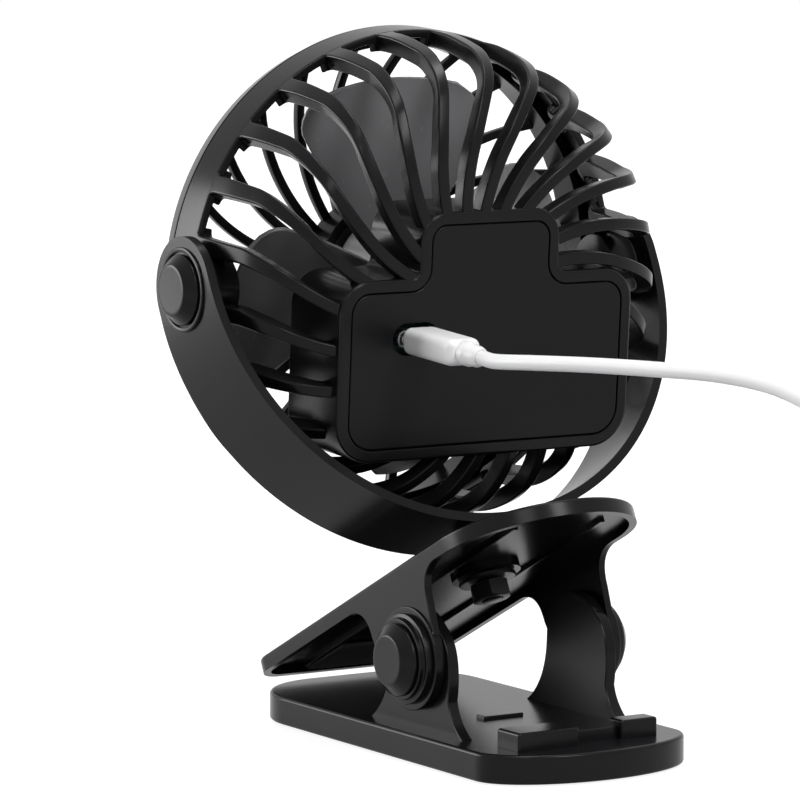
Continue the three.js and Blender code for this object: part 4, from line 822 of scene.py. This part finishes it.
cage_line = [
    (64.2, -5), (64, 4), (62.5, 13), (60.5, 20.5), (57, 27.5), (52, 32.3), (43, 35.8), (34, 36.6),
    (22, 36.6),
]
flares = ((0, 0), (0.2, 2), (0.235, 1.1), (0.265, 0.75), (0.3, 0.4), (0.35, 0.17), (0.42, 0))
stations = [*flares, *[(0.6 + 0.2 * i, 0) for i in range(38)]]
rib_rings = []
for t, flare in stations:
    r, h = through(cage_line, t)
    slope = (through(cage_line, min(t + 0.05, 8)) - through(cage_line, max(t - 0.05, 0))).normalized()
    half = RIB_HALF - RIB_THINNING * min(1, t / 4) + flare
    angle = math.radians(RIB_START - RIB_SWIRL * max(0, 62 - r))
    ring = []
    for across, deep in bar_section(half, RIB_DEPTH, 0.6, 0.5):
        radius, height = r - slope.y * deep, h + slope.x * deep
        x = radius * math.cos(angle) - across * math.sin(angle)
        u = radius * math.sin(angle) + across * math.cos(angle)
        ring.append(Vector((x, height, u)) * MM)
    rib_rings.append(ring)
cage = turned_copies(drawn_bar("rear_cage", rib_rings), RIB_COUNT)


def panel_outline(grow):
    """The back panel: a wide body with a narrower tab on top, grown by an offset."""
    w, t, top = 40.5 + grow, 17.5 + grow, 19 + grow
    shoulder, low_edge = 2.5 + grow, -37 - grow
    r, tab, low, fillet = (max(v, 1) for v in (5 + grow, 4 + grow, 7 + grow, 6 - grow))
    return [
        *arc(w - low, low_edge + low, low, -90, 0, 10),
        *arc(w - r, shoulder - r, r, 0, 90, 10),
        *arc(t + fillet, shoulder + fillet, fillet, -90, -180, 10),
        *arc(t - tab, top - tab, tab, 0, 90, 10),
        *arc(-t + tab, top - tab, tab, 90, 180, 10),
        *arc(-t - fillet, shoulder + fillet, fillet, 0, -90, 10),
        *arc(-w + r, shoulder - r, r, 90, 180, 10),
        *arc(-w + low, low_edge + low, low, 180, 270, 10),
    ]


shaped_by(cage, plate("pod_room", panel_outline(POD_WALL / 2), "Y", 8, 40), "DIFFERENCE")
pod = plate("pod", panel_outline(POD_WALL), "Y", POD_FRONT, POD_BACK)
bevel_edges(pod, lambda p: p.y > POD_BACK - 0.1, 0.9, 4)
bevel_edges(pod, lambda p: p.y < POD_FRONT + 0.1, 0.6, 2)
shaped_by(pod, plate("cover_room", panel_outline(PANEL_GAP), "Y", 34.7, 40), "DIFFERENCE")
bevel_edges(pod, lambda p: p.y > POD_BACK - 0.01, 0.25, 2)
shaped_by(pod, plate("battery_room", panel_outline(-1.5), "Y", 14.5, 36), "DIFFERENCE")
ring_profile = [
    (62.1, -13.6), (62.3, -13.8), (64.1, -13.8), (64.3, -13.6), (64.3, -3.7), (64.1, -3.2), (63.6, -3),
    (62.5, -3), (62.2, -3.1), (62.1, -3.4), (62.1, -13.6),
]
rim = spun("rear_ring", ring_profile, 192)
boss_profile = [
    (0, 56.9), (8.8, 56.9), (9, 57.1), (9, 64.6), (8.7, 64.9), (1.8, 64.9), (1.8, 58.3), (0, 58.3),
]
boss = spun("tilt_boss", boss_profile, 64, "X")
shell = joined("rear_shell_body", cage, pod, rim, boss, mirrored(boss))
finished(placed(shell, HEAD), 42)
dress(shell, black_shell, "head", ["rear_shell"])


# ---------------------------------------------------------------- rear cover
# A flat black ABS plate, finely grained, let into the pod flush with its rim, with an oval port.
# Behind it lie the battery cell, the charging board and its socket.
PORT_RADIUS, PORT_HALF_SLOT = 3.95, 2.7

black_panel = finish_of(
    "black_panel", (0.006, 0.006, 0.007), (0.008, 0.008, 0.009), 0.29, 0.04, 2600, 0.002,
    Specular_IOR_Level=SHELL_GLOSS,
)
cover = plate("back_cover", panel_outline(0), "Y", POD_BACK - 2, POD_BACK)
bevel_edges(cover, lambda p: p.y > POD_BACK - 0.1, 0.35, 3)
port_outline = [
    *arc(PORT_HALF_SLOT, 0, PORT_RADIUS, -90, 90, 20), *arc(-PORT_HALF_SLOT, 0, PORT_RADIUS, 90, 270, 20),
]
shaped_by(cover, placed(plate("port_cut", port_outline, "Y", 34, 38), IN_PORT), "DIFFERENCE")
bevel_edges(
    cover,
    lambda p: p.y > POD_BACK - 0.1
    and abs(p.x - PORT_X) < PORT_HALF_SLOT + PORT_RADIUS + 0.05
    and abs(p.z - PORT_Z) < PORT_RADIUS + 0.05,
    0.3,
    3,
)
finished(placed(cover, HEAD))
dress(cover, black_panel, "head", ["rear_cover"])

board_green = finish_of("board_green", (0.008, 0.06, 0.022), (0.012, 0.08, 0.03), 0.4, 0.15, 700, 0.03)
board_black = finish_of("board_black", (0.008, 0.008, 0.009), (0.015, 0.015, 0.015), 0.45, 0.15, 700, 0.03)
cell_wrap = finish_of("cell_wrap", (0.03, 0.16, 0.42), (0.04, 0.2, 0.5), 0.3, 0.1, 900, 0.01)
reskin(board_green, "circuit_board")
reskin(board_black, "switch_board")
reskin(cell_wrap, "battery")
reskin(steel, "usb_socket")


# ---------------------------------------------------------------- front grille and button
# A black ABS bezel that snaps into the ring, with 24 curved ribs to a round hub.
# The hub holds the power button, a dished disc.
BAR_COUNT, BAR_OUTER, BAR_INNER, BAR_SWEEP = 24, 60.6, 16, 0.45
GUARD_FRONT, GUARD_BULGE = -18.4, 8.6

bezel_profile = [
    (64.3, -14.1), (64.2, -14.6), (62.5, -19.4), (62.2, -20.1), (61.7, -20.7), (61.1, -21), (60.1, -20.7),
    (59.7, -20.2), (59.6, -19.6), (59.6, -9.9), (59.7, -9.6), (61.6, -9.6), (61.8, -9.8), (61.8, -14.1),
    (64.3, -14.1),
]
bezel = spun("front_bezel", bezel_profile, 192)
hub_profile = [
    (7.3, -26.8), (7.5, -27), (16, -27), (16.6, -26.8), (16.9, -26.5), (17, -26), (17, -18.2),
    (16.8, -18), (15, -18), (14.8, -18.2), (14.8, -24.5), (7.3, -24.5), (7.3, -26.8),
]
hub = spun("front_hub", hub_profile, 128)
grille_rings = []
for i in range(21):
    r = BAR_OUTER - (BAR_OUTER - BAR_INNER) * i / 20
    angle = math.radians(7.5 + BAR_SWEEP * (r - 59.6))
    share = min(1, max(0, (64.3 - r) / 47.3))
    h = GUARD_FRONT - GUARD_BULGE * (1 - (1 - share) ** 2.4)
    ring = []
    for across, deep in bar_section(1.3, 2.6, 0.7, 0.5, 2):
        x = r * math.cos(angle) - across * math.sin(angle)
        u = r * math.sin(angle) + across * math.cos(angle)
        ring.append(Vector((x, h + deep, u)) * MM)
    grille_rings.append(ring)
bars = turned_copies(drawn_bar("front_bars", grille_rings), BAR_COUNT)
grille = joined("front_guard", bezel, hub, bars)
finished(placed(grille, HEAD), 42)
dress(grille, black_shell, "head", ["front_grille"])

button_profile = [
    (0, -27.1), (3.5, -27.2), (5.6, -27.5), (6.3, -27.6), (6.75, -27.4), (7, -27), (7, -24.2),
    (8.4, -24.2), (8.4, -23.2), (0, -23.2),
]
button = spun("button_disc", button_profile, 96)
finished(placed(button, HEAD))
dress(button, black_panel, "button", ["power_button"])


# ---------------------------------------------------------------- motor and blades
# Four broad grey blades moulded in one piece with their hub, pressed on the shaft of a small motor
# in a plated steel can.
BLADE_COUNT, BLADE_ROOT, BLADE_SPAN, BLADE_PHASE = 4, 13, 39, -8
ROOT_PITCH, PITCH_LOSS, BLADE_CAMBER, BLADE_WALL = 40, 18, 2.2, 1.3

blade_grey = finish_of("blade_grey", (0.17, 0.17, 0.177), (0.19, 0.19, 0.197), 0.27, 0.02, 1500, 0.002)
can_steel = finish_of(
    "can_steel", (0.5, 0.5, 0.52), (0.4, 0.4, 0.42), 0.34, metal=1.0, grain=3000, relief=0.008
)
reskin(can_steel, "motor", "motor_shaft")

blade_widths = [(0, 27), (0.14, 28), (0.35, 29), (0.6, 29), (0.84, 28), (0.94, 25), (1, 19)]
deselect()
bpy.ops.mesh.primitive_grid_add(x_subdivisions=22, y_subdivisions=16)
blade = bpy.context.object
blade.name = "blades"
for vertex in blade.data.vertices:
    share, side = min(1, max(0, (vertex.co.x + 1) / 2)), vertex.co.y
    k = max(i for i, (s, _) in enumerate(blade_widths[:-1]) if s <= share + 1e-6)
    (s0, w0), (s1, w1) = blade_widths[k], blade_widths[k + 1]
    half = w0 + (w1 - w0) * min(1, max(0, (share - s0) / (s1 - s0)))
    r = BLADE_ROOT + BLADE_SPAN * share
    turn = math.radians(half * side)
    pitch = math.tan(math.radians(ROOT_PITCH - PITCH_LOSS * share))
    camber = BLADE_CAMBER * math.cos(math.pi * side / 2)
    height = -4 + r * turn * pitch * 0.92 - camber * share
    angle = math.radians(BLADE_PHASE) + turn
    vertex.co = Vector((r * math.cos(angle), height, r * math.sin(angle))) * MM
take(blade)
wall = blade.modifiers.new("wall", "SOLIDIFY")
wall.thickness = BLADE_WALL * MM
wall.offset = 0
bpy.ops.object.modifier_apply(modifier="wall")
round_edges(blade, 0.4, 3, 50)
take(blade)
bpy.ops.object.mode_set(mode="EDIT")
bpy.ops.mesh.select_all(action="SELECT")
bpy.ops.mesh.normals_make_consistent(inside=False)
bpy.ops.object.mode_set(mode="OBJECT")
blades = turned_copies(blade, BLADE_COUNT)
hub_shell = [
    (0, -16), (11.8, -16), (12.8, -15.8), (13.6, -15.2), (13.95, -14.4), (14, -13.6), (14, 5.8),
    (13.8, 6), (12.6, 6), (12.4, 5.8), (12.4, -14.4), (3, -14.4), (3, 0.5), (1.3, 0.5), (1.3, -14.4),
    (0, -14.4),
]
fan_hub = spun("blade_hub", hub_shell, 128)
fan = joined("fan_blades", blades, fan_hub)
finished(placed(fan, HEAD), 42)
dress(fan, blade_grey, "rotor", ["impeller"])
